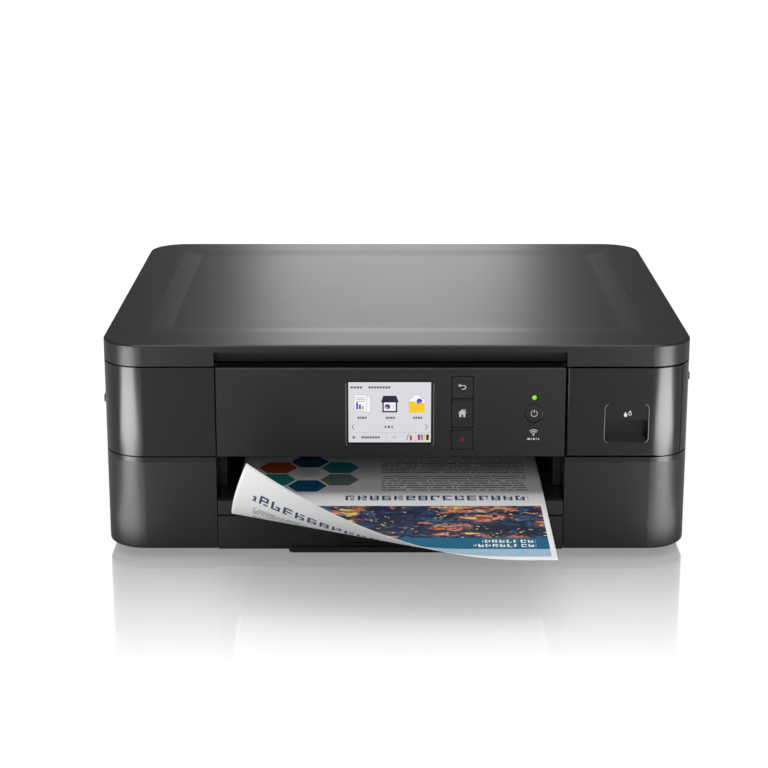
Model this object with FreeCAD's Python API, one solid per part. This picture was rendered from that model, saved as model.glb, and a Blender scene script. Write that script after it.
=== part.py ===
import FreeCAD, Part
import math
import os

# All-in-one inkjet printer. X right, Y towards the rear, Z up, millimetres.
# The origin is the centre of the footprint on the table.
# "depth" is always measured backwards from the machine's front face.

WIDTH = 400.0
DEPTH = 343.0
HEIGHT = 151.0
CORNER_R = 28.0
WALL = 2.5
FRONT_Y = -DEPTH / 2
HALF_W = WIDTH / 2

FOOT_H = 6.5
CASE_SPLIT = 72.4
UPPER_BOTTOM = 73.2
UPPER_TOP = 135.3
LID_BOTTOM = 136.3
LID_SKIN = 3.0
LID_DISH = 0.6

# Front panel and paper opening share one width.
PANEL = (-123.0, 114.3)
GAP = 0.6
PANEL_AXIS = (4.0, 131.0)
SCREEN = (-32.7, 23.0, 83.1, 125.3)
KEYS = ((114.2, 129.2), (93.8, 112.8), (78.4, 91.7))
KEY_X = (37.1, 51.3)
POWER = (92.7, 103.5, 6.2)
STATUS = (92.7, 114.6, 1.6)

# Ink bay on the right.
INK_X = (115.1, 193.3)
INK_AXIS = (2.2, 75.5)
INK_PITCH = 16.0
INK_FIRST = 131.0
INK_POCKET = (140.9, 170.0, 83.1, 109.3)

# Scanner unit.
SCAN_FRONT = 36.7
SCAN_LOW = 98.5
SCAN_HIGH = 114.5
SCAN_STEP_X = 118.0
SCAN_STEP_DEPTH = 316.0
RING_GAP = 0.8
SCAN_AXIS = (336.5, 103.0)
SCAN_PINS = ((-156.0, -140.0), (140.0, 156.0))
WINDOW = (-150.0, 150.0, 66.0, 284.0)
GLASS_Z = (129.1, 132.0)
LID_AXIS = (338.0, 143.5)
STAY = (71.0, 93.0, 140.0)

# Paper path.
TRAY_Z = (8.8, 30.2)
TRAY_X = (-121.8, 113.0)
COVER_Z = (31.3, 41.2)
SHEET = (210.0, 297.0, 0.4)
SHEET_LEFT = -109.4
PAPER_MID = SHEET_LEFT + SHEET[0] / 2
ROLLER_R = 6.0
SHAFT_R = 3.0
ROLLER_Z = 51.5
FEED_DEPTH = 236.0
EJECT_DEPTH = 174.0
PINCH_R = 4.0
STAR_R = 5.0
PAPER_ROOM = 0.3
PINCH_Z = ROLLER_Z + ROLLER_R + PAPER_ROOM + PINCH_R
STAR_Z = ROLLER_Z + ROLLER_R + PAPER_ROOM + STAR_R
ROLLER_SPAN = (-112.0, 103.0)
GEAR_X = (-183.0, -179.0)
ROLLER_TEETH = 32
IDLER_TEETH = 30
TURN = (303.0, 38.0, 19.0)
PICKUP = (215.0, 36.0, 44.0, 8.0)
JAM_COVER_Z = (17.4, 69.2)
JAM_AXIS = (341.0, 19.0)

# Print engine.
CARRIAGE = (97.0, 181.0, 179.0, 230.0, 62.0, 92.0)
ROD = (237.0, 80.0, 4.0)
BELT = (176.0, 250.0, 5.0, 83.0, 89.0)
GUIDE_PINION = (130.0, 8.0)
GUIDE_TEETH = 16


def vec(x, depth, z):
    """Point from x, depth behind the front face, and height."""
    return FreeCAD.Vector(x, FRONT_Y + depth, z)


def block(x, depth, z):
    """Box between two x values, two depths and two heights."""
    solid = Part.makeBox(x[1] - x[0], depth[1] - depth[0], z[1] - z[0])
    solid.translate(vec(x[0], depth[0], z[0]))
    return solid


def rod_x(x, depth, z, radius):
    """Round bar along X."""
    return Part.makeCylinder(radius, x[1] - x[0], vec(x[0], depth, z), FreeCAD.Vector(1, 0, 0))


def rod_y(x, depth, z, radius):
    """Round bar along Y."""
    return Part.makeCylinder(radius, depth[1] - depth[0], vec(x, depth[0], z), FreeCAD.Vector(0, 1, 0))


def rod_z(x, depth, z, radius):
    """Round bar along Z."""
    return Part.makeCylinder(radius, z[1] - z[0], vec(x, depth, z[0]))


def edges_along(solid, axis, test):
    """Straight edges parallel to an axis whose middle passes the test."""
    found = []
    for edge in solid.Edges:
        if not isinstance(edge.Curve, Part.Line):
            continue
        if abs(abs(edge.Curve.Direction.dot(axis)) - 1) > 1e-6:
            continue
        if test(edge.CenterOfMass):
            found.append(edge)
    return found


def rounded_block(x, depth, z, radius, axis=(0, 0, 1)):
    """Box with its four edges along one axis rounded."""
    solid = block(x, depth, z)
    edges = edges_along(solid, FreeCAD.Vector(*axis), lambda middle: True)
    return solid.makeFillet(radius, edges)


def outline(inset, z):
    """The body's plan outline, moved inwards and raised between two heights."""
    x = (-HALF_W + inset, HALF_W - inset)
    depth = (inset, DEPTH - inset)
    return rounded_block(x, depth, z, max(CORNER_R - inset, 2.0))


def shell(z, inner_z):
    """Body outline with a core taken out."""
    return outline(0, z).cut(outline(WALL, inner_z))


def fuse(solids):
    """One solid from touching or overlapping pieces."""
    first = solids[0]
    if len(solids) > 1:
        first = first.multiFuse(solids[1:])
    return first.removeSplitter()


def cut(solid, tools):
    """Solid with every tool taken away."""
    for tool in tools:
        solid = solid.cut(tool)
    return solid


def prism_x(points, x):
    """Closed outline of (depth, z) points, extruded along X."""
    corners = [vec(x[0], depth, z) for depth, z in points]
    face = Part.Face(Part.makePolygon(corners + corners[:1]))
    return face.extrude(FreeCAD.Vector(x[1] - x[0], 0, 0))


def prism_z(points, z):
    """Closed outline of (x, depth) points, extruded along Z."""
    corners = [vec(x, depth, z[0]) for x, depth in points]
    face = Part.Face(Part.makePolygon(corners + corners[:1]))
    return face.extrude(FreeCAD.Vector(0, 0, z[1] - z[0]))


def gear(x, depth, z, teeth, bore, phase):
    """Spur gear of module 1 about an axis along X, with straight flanks."""
    root = teeth / 2 - 1.1
    tip = teeth / 2 + 0.85
    points = []
    for index in range(teeth):
        middle = phase + 2 * math.pi * index / teeth
        for share, radius in ((-0.27, root), (-0.11, tip), (0.11, tip), (0.27, root)):
            angle = middle + share * 2 * math.pi / teeth
            points.append((depth + radius * math.cos(angle), z + radius * math.sin(angle)))
    return prism_x(points, x).cut(rod_x(x, depth, z, bore))


# ---------------------------------------------------------------- lower case

SCREW_SPOTS = ((-150.0, 22.0), (150.0, 22.0), (-150.0, 262.0), (150.0, 322.0))


def make_lower_case():
    body = outline(0, (FOOT_H, CASE_SPLIT))
    rim = [e for e in body.Edges if max(abs(e.BoundBox.ZMin - FOOT_H), abs(e.BoundBox.ZMax - FOOT_H)) < 0.01]
    body = body.makeFillet(1.8, rim)
    body = body.cut(outline(WALL, (FOOT_H + 2, CASE_SPLIT + 1)))
    body = body.cut(block(PANEL, (-1, 3.4), (0, CASE_SPLIT + 1)))
    body = body.cut(block((-116, 111), (DEPTH - 4, DEPTH + 1), (16, 70)))
    walls = []
    for outer, inner in ((PANEL[0] - 2.5, PANEL[0] - 0.2), (PANEL[1] + 0.2, PANEL[1] + 2.5)):
        walls.append(block((outer, inner), (2.0, 318), (FOOT_H + 1.5, 41.3)))
        walls.append(block((outer, inner), (2.0, 160), (41, CASE_SPLIT)))
    walls.append(block((PANEL[0] - 2.5, -118.3), (34, 150), (41.5, 66)))
    walls.append(block((109.3, PANEL[1] + 2.5), (34, 150), (41.5, 66)))
    holes = []
    for x, depth in SCREW_SPOTS:
        walls.append(rod_z(x, depth, (FOOT_H + 1.5, 18), 5))
        holes.append(rod_z(x, depth, (0, 17), 2.0))
        holes.append(rod_z(x, depth, (0, FOOT_H + 2), 3.8))
    holes.append(block((-172, -143), (DEPTH - 4, DEPTH + 1), (24, 46)))
    return cut(fuse([body] + walls), holes)


def make_feet():
    feet = []
    for x in (-168, 168):
        for depth in (32, 311):
            foot = rod_z(x, depth, (0, FOOT_H), 9)
            bottom = [e for e in foot.Edges if e.BoundBox.ZMax < 0.01]
            feet.append(foot.makeFillet(0.8, bottom))
    return Part.makeCompound(feet)


def make_screws():
    screws = []
    for x, depth in SCREW_SPOTS:
        head = rod_z(x, depth, (FOOT_H + 0.2, FOOT_H + 2), 3.5)
        slot = block((x - 2.5, x + 2.5), (depth - 0.4, depth + 0.4), (FOOT_H, FOOT_H + 0.9))
        cross = block((x - 0.4, x + 0.4), (depth - 2.5, depth + 2.5), (FOOT_H, FOOT_H + 0.9))
        shank = rod_z(x, depth, (FOOT_H + 2, 16), 1.9)
        screws.append(cut(fuse([head, shank]), [slot, cross]))
    return Part.makeCompound(screws)


# ---------------------------------------------------------------- upper case

def scanner_space(grow):
    """The room that the lifting scanner unit takes, larger by a gap."""
    depth = (SCAN_FRONT - grow, DEPTH + 5)
    low = block((-HALF_W - 5, SCAN_STEP_X + grow), depth, (SCAN_LOW - grow, UPPER_TOP + 5))
    high = block((SCAN_STEP_X - 5, HALF_W + 5), depth, (SCAN_HIGH - grow, UPPER_TOP + 5))
    rear_depth = (SCAN_STEP_DEPTH - grow, DEPTH + 5)
    rear = block((SCAN_STEP_X - 5, HALF_W + 5), rear_depth, (SCAN_LOW - grow, UPPER_TOP + 5))
    return fuse([low, high, rear])


def make_upper_case():
    walls = shell((UPPER_BOTTOM, UPPER_TOP), (UPPER_BOTTOM - 1, UPPER_TOP - 2))
    walls = walls.cut(scanner_space(RING_GAP))
    ceiling = block((PANEL[0], PANEL[1]), (12.5, 158), (UPPER_BOTTOM, UPPER_BOTTOM + 2))
    cross = block((-HALF_W + 1, PANEL[1] + 2), (33, SCAN_FRONT - RING_GAP), (UPPER_BOTTOM, UPPER_TOP - 1))
    left_cheek = block((PANEL[0] - 2.5, PANEL[0]), (1.5, 35), (UPPER_BOTTOM, UPPER_TOP - 1))
    bay_wall = block((PANEL[1] + 0.4, PANEL[1] + 3), (16, 110), (UPPER_BOTTOM, SCAN_LOW - 2))
    bay_front = block((PANEL[1] + 0.4, PANEL[1] + 3), (16, 36), (UPPER_BOTTOM, UPPER_TOP - 1))
    bay_floor = block((PANEL[1] + 0.4, HALF_W - 1), (16, 110), (UPPER_BOTTOM, UPPER_BOTTOM + 2))
    bay_floor = bay_floor.common(outline(1, (UPPER_BOTTOM, UPPER_TOP)))
    bay_back = block((SCAN_STEP_X + 1.5, HALF_W - 1), (108, 110), (UPPER_BOTTOM, SCAN_HIGH - RING_GAP))
    bay_roof = block((SCAN_STEP_X + 1.5, HALF_W - 1), (35, 110), (SCAN_HIGH - 2.8, SCAN_HIGH - RING_GAP))
    body = fuse([walls, ceiling, cross, left_cheek, bay_wall, bay_front, bay_floor, bay_back, bay_roof])
    panel_room = block(PANEL, (-1, 12.4), (0, HEIGHT))
    door_room = block((PANEL[1] - 0.1, INK_X[1] + 0.5), (-1, 16), (0, HEIGHT))
    return cut(body, [panel_room, door_room])


def make_cartridge_holder():
    holder = block((122, 190), (104.5, 108), (75.2, 111))
    rails = [block((121.5, 189.5), (24, 104.5), (75.2, 77.0))]
    for index in range(5):
        x = INK_FIRST - INK_PITCH / 2 + INK_PITCH * index
        rails.append(block((x - 0.7, x + 0.7), (24, 104.5), (77.0, 88)))
    return fuse([holder] + rails)


def make_cartridge(index):
    x = INK_FIRST + INK_PITCH * index
    body = block((x - 6.9, x + 6.9), (26, 104), (77.4, 109))
    label = block((x - 5.4, x + 5.4), (24.6, 26.2), (82, 104))
    grip = block((x - 5.4, x + 5.4), (22.6, 26.2), (78.6, 81))
    front = [e for e in body.Edges if abs(e.CenterOfMass.y - (FRONT_Y + 26)) < 0.1]
    body = body.makeFillet(0.8, front)
    return fuse([body, label, grip])


# ---------------------------------------------------------------- front panel

def make_panel():
    body = block((PANEL[0] + GAP, PANEL[1] - GAP), (0, 3), (UPPER_BOTTOM, UPPER_TOP))
    sides = edges_along(body, FreeCAD.Vector(0, 0, 1), lambda middle: middle.y < FRONT_Y + 1)
    body = body.makeChamfer(0.9, sides)
    top = edges_along(body, FreeCAD.Vector(1, 0, 0), lambda middle: middle.y < FRONT_Y + 1 and middle.z > 100)
    body = body.makeFillet(1.0, top)
    back = block((-60, 106), (3, 9.5), (75.5, 132))
    hollow = block((-58, 104), (3, 7.5), (77.2, 130.4))
    ears = [block((x, x + 3), (2.5, 7), (127, 133.5)) for x in (PANEL[0] + 3, PANEL[1] - 6)]
    pins = [rod_x((x - 1.5, x + 4.5), PANEL_AXIS[0], PANEL_AXIS[1], 1.6) for x in (PANEL[0] + 3, PANEL[1] - 6)]
    body = fuse([body, back.cut(hollow)] + ears + pins)
    screen_x = (SCREEN[0] - 1.4, SCREEN[1] + 1.8)
    screen_z = (SCREEN[2] - 1.4, SCREEN[3] + 1.4)
    openings = [rounded_block(screen_x, (-1, 3.5), screen_z, 1.5, (0, 1, 0))]
    for low, high in KEYS:
        openings.append(block((KEY_X[0] - 0.4, KEY_X[1] + 0.4), (-1, 3.5), (low - 0.4, high + 0.4)))
    openings.append(rod_y(POWER[0], (-1, 3.5), POWER[1], POWER[2] + 0.3))
    openings.append(rod_y(STATUS[0], (-1, 3.5), STATUS[1], STATUS[2]))
    return cut(body, openings)


def make_touchscreen():
    x = (SCREEN[0] - 1.3, SCREEN[1] + 1.7)
    z = (SCREEN[2] - 1.3, SCREEN[3] + 1.3)
    glass = rounded_block(x, (0.2, 3.0), z, 1.4, (0, 1, 0))
    module = block((x[0] - 2, x[1] + 2), (3.0, 7.3), (z[0] - 1, z[1] + 1))
    return fuse([glass, module])


def make_key(low, high):
    return rounded_block(KEY_X, (0.0, 3.4), (low, high), 1.6, (0, 1, 0))


def make_power_button():
    cap = rod_y(POWER[0], (0.0, 3.4), POWER[1], POWER[2])
    rim = [e for e in cap.Edges if e.BoundBox.YMax < FRONT_Y + 0.1]
    return cap.makeFillet(0.5, rim)


def make_status_light():
    return rod_y(STATUS[0], (0.1, 3.0), STATUS[1], STATUS[2] - 0.1)


def make_ink_door():
    z = (UPPER_BOTTOM, UPPER_TOP - 0.3)
    skin = outline(0, z).cut(outline(WALL, (0, HEIGHT)))
    keep = block(INK_X, (-1, 12), (0, HEIGHT))
    door = skin.common(keep)
    side = edges_along(door, FreeCAD.Vector(0, 0, 1), lambda m: m.x < INK_X[0] + 1 and m.y < FRONT_Y + 1)
    door = door.makeChamfer(0.9, side)
    bottom = block(INK_X, (-1, 1.2), (UPPER_BOTTOM - 1, UPPER_BOTTOM + 1.2))
    rounding = rod_x(INK_X, 1.2, UPPER_BOTTOM + 1.2, 1.2)
    door = door.cut(bottom.cut(rounding))
    x0, x1, z0, z1 = INK_POCKET
    tub = block((x0 - 1.5, x1 + 1.5), (2, 14), (z0 - 1.5, z1 + 1.5))
    upper = block((x0, x1), (-1, 1.2), (98.8, z1))
    recess = rounded_block((x0, x1), (-1, 1.2), (z0, z1), 1.1, (0, 1, 0))
    pocket = rounded_block((x0, x1), (-1, 12.5), (z0, 98.8), 3.0, (0, 1, 0))
    ribs = [block((x, x + 2), (2, 9), (78, 131)) for x in (121, 133)]
    knuckles = [rod_x((x, x + 6), INK_AXIS[0], INK_AXIS[1], 1.6) for x in (120, 162)]
    return cut(fuse([door, tub] + ribs + knuckles), [pocket, recess, upper])


# ---------------------------------------------------------------- scanner and lid

def make_scanner_tub():
    outer = outline(0, (SCAN_LOW, UPPER_TOP)).common(scanner_space(0))
    inner = outline(WALL, (SCAN_LOW + WALL, UPPER_TOP + 1))
    low = block((-HALF_W, SCAN_STEP_X - 2), (SCAN_FRONT + WALL, DEPTH), (SCAN_LOW + WALL, UPPER_TOP + 1))
    high = block((SCAN_STEP_X - 3, HALF_W), (SCAN_FRONT + WALL, DEPTH), (SCAN_HIGH + 2, UPPER_TOP + 1))
    tub = outer.cut(fuse([low, high]).common(inner))
    chamfer = prism_x(((DEPTH - 6, 90), (DEPTH + 5, 90), (DEPTH + 5, SCAN_LOW + 11), (DEPTH - 6, SCAN_LOW)),
                      (-HALF_W - 1, HALF_W + 1))
    ledge = outline(1, (SCAN_LOW, SCAN_LOW + 9))
    ledge = ledge.common(block((-HALF_W, HALF_W), (DEPTH - 14, DEPTH), (0, HEIGHT)))
    notches = [block(x, (DEPTH - 12, DEPTH + 1), (SCAN_LOW - 1, SCAN_LOW + 7.5)) for x in SCAN_PINS]
    tub = cut(fuse([tub, ledge]), [chamfer] + notches)
    hinge_pins = [rod_x((x[0] - 1, x[1] + 1), SCAN_AXIS[0], SCAN_AXIS[1], 2.0) for x in SCAN_PINS]
    tabs = []
    for side, z in ((-1, 100.5), (1, 116.5)):
        x = sorted((side * (HALF_W - 1), side * (HALF_W + 2.9)))
        tabs.append(rounded_block(x, (39, 55), (z, z + 5), 1.2, (1, 0, 0)))
    pivot = block((-196.5, -188.5), (STAY[0] - 4, STAY[0] + 4), (STAY[1] + 3.4, SCAN_LOW + 1))
    ear = block((-196.5, -194.8), (STAY[0] - 4, STAY[0] + 4), (STAY[1] - 4, SCAN_LOW))
    pin = rod_x((-195, -189.5), STAY[0], STAY[1], 1.8)
    return fuse([tub, pivot, ear, pin] + hinge_pins + tabs)


def make_glass_frame():
    frame = outline(WALL + 0.3, (GLASS_Z[1], UPPER_TOP))
    frame = frame.common(block((-HALF_W, HALF_W), (SCAN_FRONT + WALL + 0.3, DEPTH), (100, 150)))
    window = block(WINDOW[:2], WINDOW[2:], (100, 150))
    return frame.cut(window)


def make_scanner_glass():
    x0, x1, d0, d1 = WINDOW
    return block((x0 - 5, x1 + 5), (d0 - 5, d1 + 5), GLASS_Z)


def make_scan_rod():
    return rod_x((-HALF_W + WALL, HALF_W - WALL), 300, 121, 2.5)


def make_scan_head():
    bar = rounded_block((-186, -158), (58, 306), (118, 127.5), 1.5, (0, 1, 0))
    lens = block((-176, -168), (66, 284), (127, 128.3))
    return cut(fuse([bar, lens]), [rod_x((-200, -150), 300, 121, 2.8)])


def make_stay():
    pivot_depth, pivot_z, length = STAY
    arm = block((-194, -190.5), (pivot_depth, pivot_depth + length), (pivot_z - 2.8, pivot_z + 2.8))
    ends = [rod_x((-194, -190.5), pivot_depth + along, pivot_z, 2.8) for along in (0, length)]
    slot = block((-194.5, -190), (pivot_depth + 20, pivot_depth + length - 10), (pivot_z - 1, pivot_z + 1))
    return cut(fuse([arm] + ends), [slot, rod_x((-196, -189), pivot_depth, pivot_z, 2.0)])


LID_POST_X = (152.0, 168.0)


def make_lid_posts():
    posts = []
    for side in (-1, 1):
        x = sorted((side * LID_POST_X[0], side * LID_POST_X[1]))
        pin_x = sorted((side * (LID_POST_X[0] - 3), side * (LID_POST_X[1] + 3)))
        stem = block(x, (LID_AXIS[0] - 3, LID_AXIS[0] + 1.6), (UPPER_TOP, LID_AXIS[1]))
        barrel = rod_x(x, LID_AXIS[0], LID_AXIS[1], 3.4)
        posts.append(fuse([stem, barrel, rod_x(pin_x, LID_AXIS[0], LID_AXIS[1], 1.8)]))
    return Part.makeCompound(posts)


def make_lid_shell():
    lid = outline(0, (LID_BOTTOM, HEIGHT))
    top = [e for e in lid.Edges if e.BoundBox.ZMin > HEIGHT - 0.01]
    lid = lid.makeFillet(1.2, top)
    lid = lid.cut(outline(LID_SKIN, (LID_BOTTOM - 1, HEIGHT - 4.2)))
    handle_x = (PANEL[0], PANEL[1])
    tub = block((handle_x[0] - 2, handle_x[1] + 2), (1, 16), (LID_BOTTOM, HEIGHT - 2))
    lid = fuse([lid, tub]).cut(block(handle_x, (-1, 14), (LID_BOTTOM - 1, 146)))
    dish = Part.makeLoft([rect_wire((-172, 172), (38, 317), HEIGHT + 0.01),
                          rect_wire((-156, 156), (52, 297), HEIGHT - LID_DISH)], True)
    chamfer = prism_x(((DEPTH - 3, LID_BOTTOM - 1), (DEPTH + 1, LID_BOTTOM - 1),
                       (DEPTH + 1, LID_BOTTOM + 4), (DEPTH - 4, LID_BOTTOM - 1)), (-HALF_W, HALF_W))
    notches = []
    for side in (-1, 1):
        x = sorted((side * (LID_POST_X[0] - 4.2), side * (LID_POST_X[1] + 4.2)))
        notches.append(block(x, (328, DEPTH + 1), (LID_BOTTOM - 1, 147.9)))
    return cut(lid, [dish, chamfer] + notches)


def rect_wire(x, depth, z):
    """Closed rectangle at one height."""
    plan = ((x[0], depth[0]), (x[1], depth[0]), (x[1], depth[1]), (x[0], depth[1]))
    corners = [vec(corner_x, corner_depth, z) for corner_x, corner_depth in plan]
    return Part.makePolygon(corners + corners[:1])


def make_lid_base():
    """White plate that closes the lid from below, with the hinge ears behind it."""
    plate = outline(LID_SKIN + 0.4, (137.0, 139.0))
    room = block((-HALF_W, HALF_W), (18, 326), (130, 150))
    solids = [plate.common(room)]
    for side in (-1, 1):
        x = sorted((side * (LID_POST_X[0] - 3.6), side * (LID_POST_X[0] - 0.4)))
        ear = block(x, (320, LID_AXIS[0]), (138.5, 146.6))
        solids.append(fuse([ear, rod_x(x, LID_AXIS[0], LID_AXIS[1], 3.1)]))
    body = fuse(solids)
    return cut(body, [rod_x((-170, 170), LID_AXIS[0], LID_AXIS[1], 2.0)])


def make_lid_pad():
    x0, x1, d0, d1 = WINDOW
    return rounded_block((x0 + 2, x1 - 2), (d0 + 2, d1 - 2), (132.6, 137.0), 3)


# ---------------------------------------------------------------- paper tray

def make_paper_tray():
    x = TRAY_X
    tray = block(x, (3.2, 318), (TRAY_Z[0], TRAY_Z[1] - 0.2))
    tray = tray.cut(block((x[0] + 2.2, x[1] - 2.2), (5.5, 315.8), (TRAY_Z[0] + 1.7, 60)))
    tray = tray.cut(block((x[0] - 1, x[1] + 1), (250, 320), (17, 60)))
    groove = block((-80, 72), (GUIDE_PINION[0] - 12, GUIDE_PINION[0] + 12), (TRAY_Z[0] + 0.8, 60))
    post = rod_z(PAPER_MID, GUIDE_PINION[0], (TRAY_Z[0], TRAY_Z[0] + 3.4), 2.0)
    return fuse([tray.cut(groove), post])


def make_tray_front():
    plate = block((PANEL[0] + 0.5, PANEL[1] - 0.5), (0, 3.2), (FOOT_H, TRAY_Z[1]))
    lip = prism_z(((-74, 0), (-70, -3.2), (61, -3.2), (65, 0), (65, 3), (-74, 3)), (4.6, 8.6))
    lip = lip.cut(prism_x(((-4, 4), (-4, 6.2), (-1.6, 4)), (-90, 90)))
    grip = rounded_block((-41.3, 32.1), (-1, 1.4), (0, 21.9), 3.0, (0, 1, 0))
    grip = grip.cut(block((-50, 50), (-2, 2), (0, 8.4)))
    scoop = block((-38.5, 29.5), (1, 3.3), (10, 19.5))
    return cut(fuse([plate, lip]), [grip, scoop])


def make_tray_cover():
    x = (PANEL[0] + 0.5, PANEL[1] - 0.5)
    plate = block(x, (0, 188), (38.6, 40.4))
    band = block(x, (0, 2.5), (COVER_Z[0], COVER_Z[1]))
    step = block(x, (2.4, 8), (40, COVER_Z[1]))
    sides = [block((x[0] + 0.1, x[0] + 2.1), (0, 188), (COVER_Z[0], 39)),
             block((x[1] - 2.1, x[1] - 0.1), (0, 188), (COVER_Z[0], 39))]
    ribs = []
    for rib_x in (PAPER_MID - 90, PAPER_MID - 60, PAPER_MID + 58, PAPER_MID + 88):
        profile = ((10, 40.2), (188, 40.2), (188, 41.0), (176, 42.8), (10, 41.4))
        ribs.append(prism_x(profile, (rib_x, rib_x + 1.6)))
    channel = block((PAPER_MID - 36, PAPER_MID + 36), (-1, 150), (39.4, 45))
    return fuse([plate, band, step] + sides + ribs).cut(channel)


def make_paper_support():
    """Flat stop that slides out of the channel on top of the tray cover."""
    plate = block((PAPER_MID - 35.6, PAPER_MID + 35.6), (0, 149), (39.6, 41.0))
    slot = rounded_block((PAPER_MID - 18, PAPER_MID + 18), (9, 19), (39, 42), 4)
    return plate.cut(slot)


def rack_depths(side, inner, outer):
    """Depth range of a rack, measured outwards from its pitch line."""
    line = GUIDE_PINION[0] + side * GUIDE_PINION[1]
    return sorted((line + side * inner, line + side * outer))


def make_width_guide(side):
    """Upright edge guide with its rack, notched where the other rack passes."""
    edge = PAPER_MID + side * (SHEET[0] / 2 + 0.8)
    low = TRAY_Z[0] + 1.9
    wall_depth = (GUIDE_PINION[0] - 38, GUIDE_PINION[0] + 38)
    wall = block(sorted((edge, edge + side * 1.8)), wall_depth, (low, 28.5))
    notch = block(sorted((edge - side, edge + side * 5)), rack_depths(-side, -1.4, 3.8), (low - 1, low + 2.2))
    foot = block(sorted((edge, edge + side * 5)), rack_depths(side, -1, 14), (low, low + 1.5))
    bar = block(sorted((PAPER_MID - side * 12, edge)), rack_depths(side, 1.2, 3.2), (low, low + 1.5))
    teeth = []
    for index in range(-3, 20):
        x = PAPER_MID + side * index * math.pi
        teeth.append(block((x - 0.6, x + 0.6), rack_depths(side, -0.8, 1.3), (low, low + 1.5)))
    return fuse([wall.cut(notch), foot, bar] + teeth)


def make_guide_pinion():
    root = GUIDE_PINION[1] - 1.1
    tip = GUIDE_PINION[1] + 0.8
    points = []
    for index in range(GUIDE_TEETH):
        middle = math.pi / 2 + 2 * math.pi * (index + 0.5) / GUIDE_TEETH
        for share, radius in ((-0.25, root), (-0.09, tip), (0.09, tip), (0.25, root)):
            angle = middle + share * 2 * math.pi / GUIDE_TEETH
            points.append((PAPER_MID + radius * math.cos(angle), GUIDE_PINION[0] + radius * math.sin(angle)))
    wheel = prism_z(points, (TRAY_Z[0] + 1.9, TRAY_Z[0] + 3.4))
    return wheel.cut(rod_z(PAPER_MID, GUIDE_PINION[0], (0, 20), 2.1))


def make_length_guide():
    base = block((PAPER_MID - 16, PAPER_MID + 16), (12, 30), (TRAY_Z[0] + 1.9, TRAY_Z[0] + 3.2))
    stop = rounded_block((PAPER_MID - 14, PAPER_MID + 14), (18, 20.2), (TRAY_Z[0] + 2.5, 27), 2, (0, 1, 0))
    return fuse([base, stop])


# ---------------------------------------------------------------- paper path

def make_engine_frame():
    plates = [block((-185.5, -184), (170, 330), (12, 92)), block((184, 185.5), (170, 330), (12, 92))]
    beam = block((-185, 185), (271, 273), (45, 60))
    inner = [block((-129.5, -128), (165, 272), (42, 58)), block((115.8, 117.2), (165, 272), (42, 58))]
    feet = [block((-186, -175), (290, 325), (8.5, 13)), block((175, 186), (290, 325), (8.5, 13))]
    stub = rod_x((-184.5, -178.5), (FEED_DEPTH + EJECT_DEPTH) / 2, ROLLER_Z, 2.0)
    bearings = []
    for x in ((-186, -184), (-129.5, -128), (115.8, 117.2)):
        for depth in (FEED_DEPTH, EJECT_DEPTH):
            bearings.append(rod_x((x[0] - 1, x[1] + 1), depth, ROLLER_Z, SHAFT_R + 0.25))
    return cut(fuse(plates + [beam, stub] + inner + feet), bearings)


def make_carriage_rail():
    rail = fuse([block((-184, 184), (258.5, 260), (64, 94)), block((-184, 184), (240, 260), (92.5, 94))])
    shaft = rod_x((-184, 184), ROD[0], ROD[1], ROD[2])
    return Part.makeCompound([rail, shaft])


def make_platen():
    plate = block(ROLLER_SPAN, (186, 226), (50, 55.6))
    ribs = []
    for index in range(11):
        x = PAPER_MID - 100 + 20 * index
        ribs.append(block((x, x + 1.2), (186, 226), (55.4, 57.2)))
    legs = [block((x, x + 4), (200, 212), (41.3, 50.1)) for x in (-112, 99)]
    sills = [block((-123.2, -108), (200, 212), (40.5, 43)), block((99, 114.5), (200, 212), (40.5, 43))]
    return fuse([plate] + ribs + legs + sills)


def make_turn_guide():
    depth, z, radius = TURN
    drum = rod_x(ROLLER_SPAN, depth, z, radius)
    core = rod_x((-108, 99), depth, z, radius - 2)
    arms = [block(x, (depth - 4, depth + 4), (36, 40)) for x in ((-123.2, -110), (101, 114.5))]
    return fuse([drum.cut(core)] + arms)


def make_pinch_holder():
    bar = block((-118, 109), (234.5, 257.8), (67.2, 69))
    ears = []
    for x in (-114, -40, 34, 104):
        ears.append(block((x - 1, x + 1), (234.5, 240), (60, 68)))
    hold = block((-118, 109), (250, 257.8), (58, 69))
    ties = [block((x, x + 12), (256, 271), (58, 61)) for x in (-118, 97)]
    body = fuse([bar, hold] + ears + ties)
    return body.cut(rod_x((-120, 110), FEED_DEPTH, PINCH_Z, 1.3))


def make_star_holder():
    bar = block((-123, 114.1), (166, 177.5), (69.2, 71.4))
    ends = [block(x, (150.5, 177.5), (60, 71.4)) for x in ((-123, -119.8), (110.9, 114.1))]
    return fuse([bar] + ends).cut(rod_x((-121.5, 112.6), EJECT_DEPTH, STAR_Z, 1.3))


def roller(depth):
    """Shaft with a rubber-covered middle and a gear on its left end."""
    shaft = rod_x((-185.2, 117.0), depth, ROLLER_Z, SHAFT_R)
    sleeve = rod_x(ROLLER_SPAN, depth, ROLLER_Z, ROLLER_R)
    wheel = gear(GEAR_X, depth, ROLLER_Z, ROLLER_TEETH, SHAFT_R - 0.5, 0.0)
    return fuse([shaft, sleeve, wheel])


def make_idler_gear():
    return gear(GEAR_X, (FEED_DEPTH + EJECT_DEPTH) / 2, ROLLER_Z, IDLER_TEETH, 2.2, math.pi / IDLER_TEETH)


def wheels_on_axle(depth, z, radius, positions, width, axle):
    """Small wheels along one thin axle."""
    solids = [rod_x(axle, depth, z, 1.0)]
    for x in positions:
        solids.append(rod_x((x - width / 2, x + width / 2), depth, z, radius))
    return fuse(solids)


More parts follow.
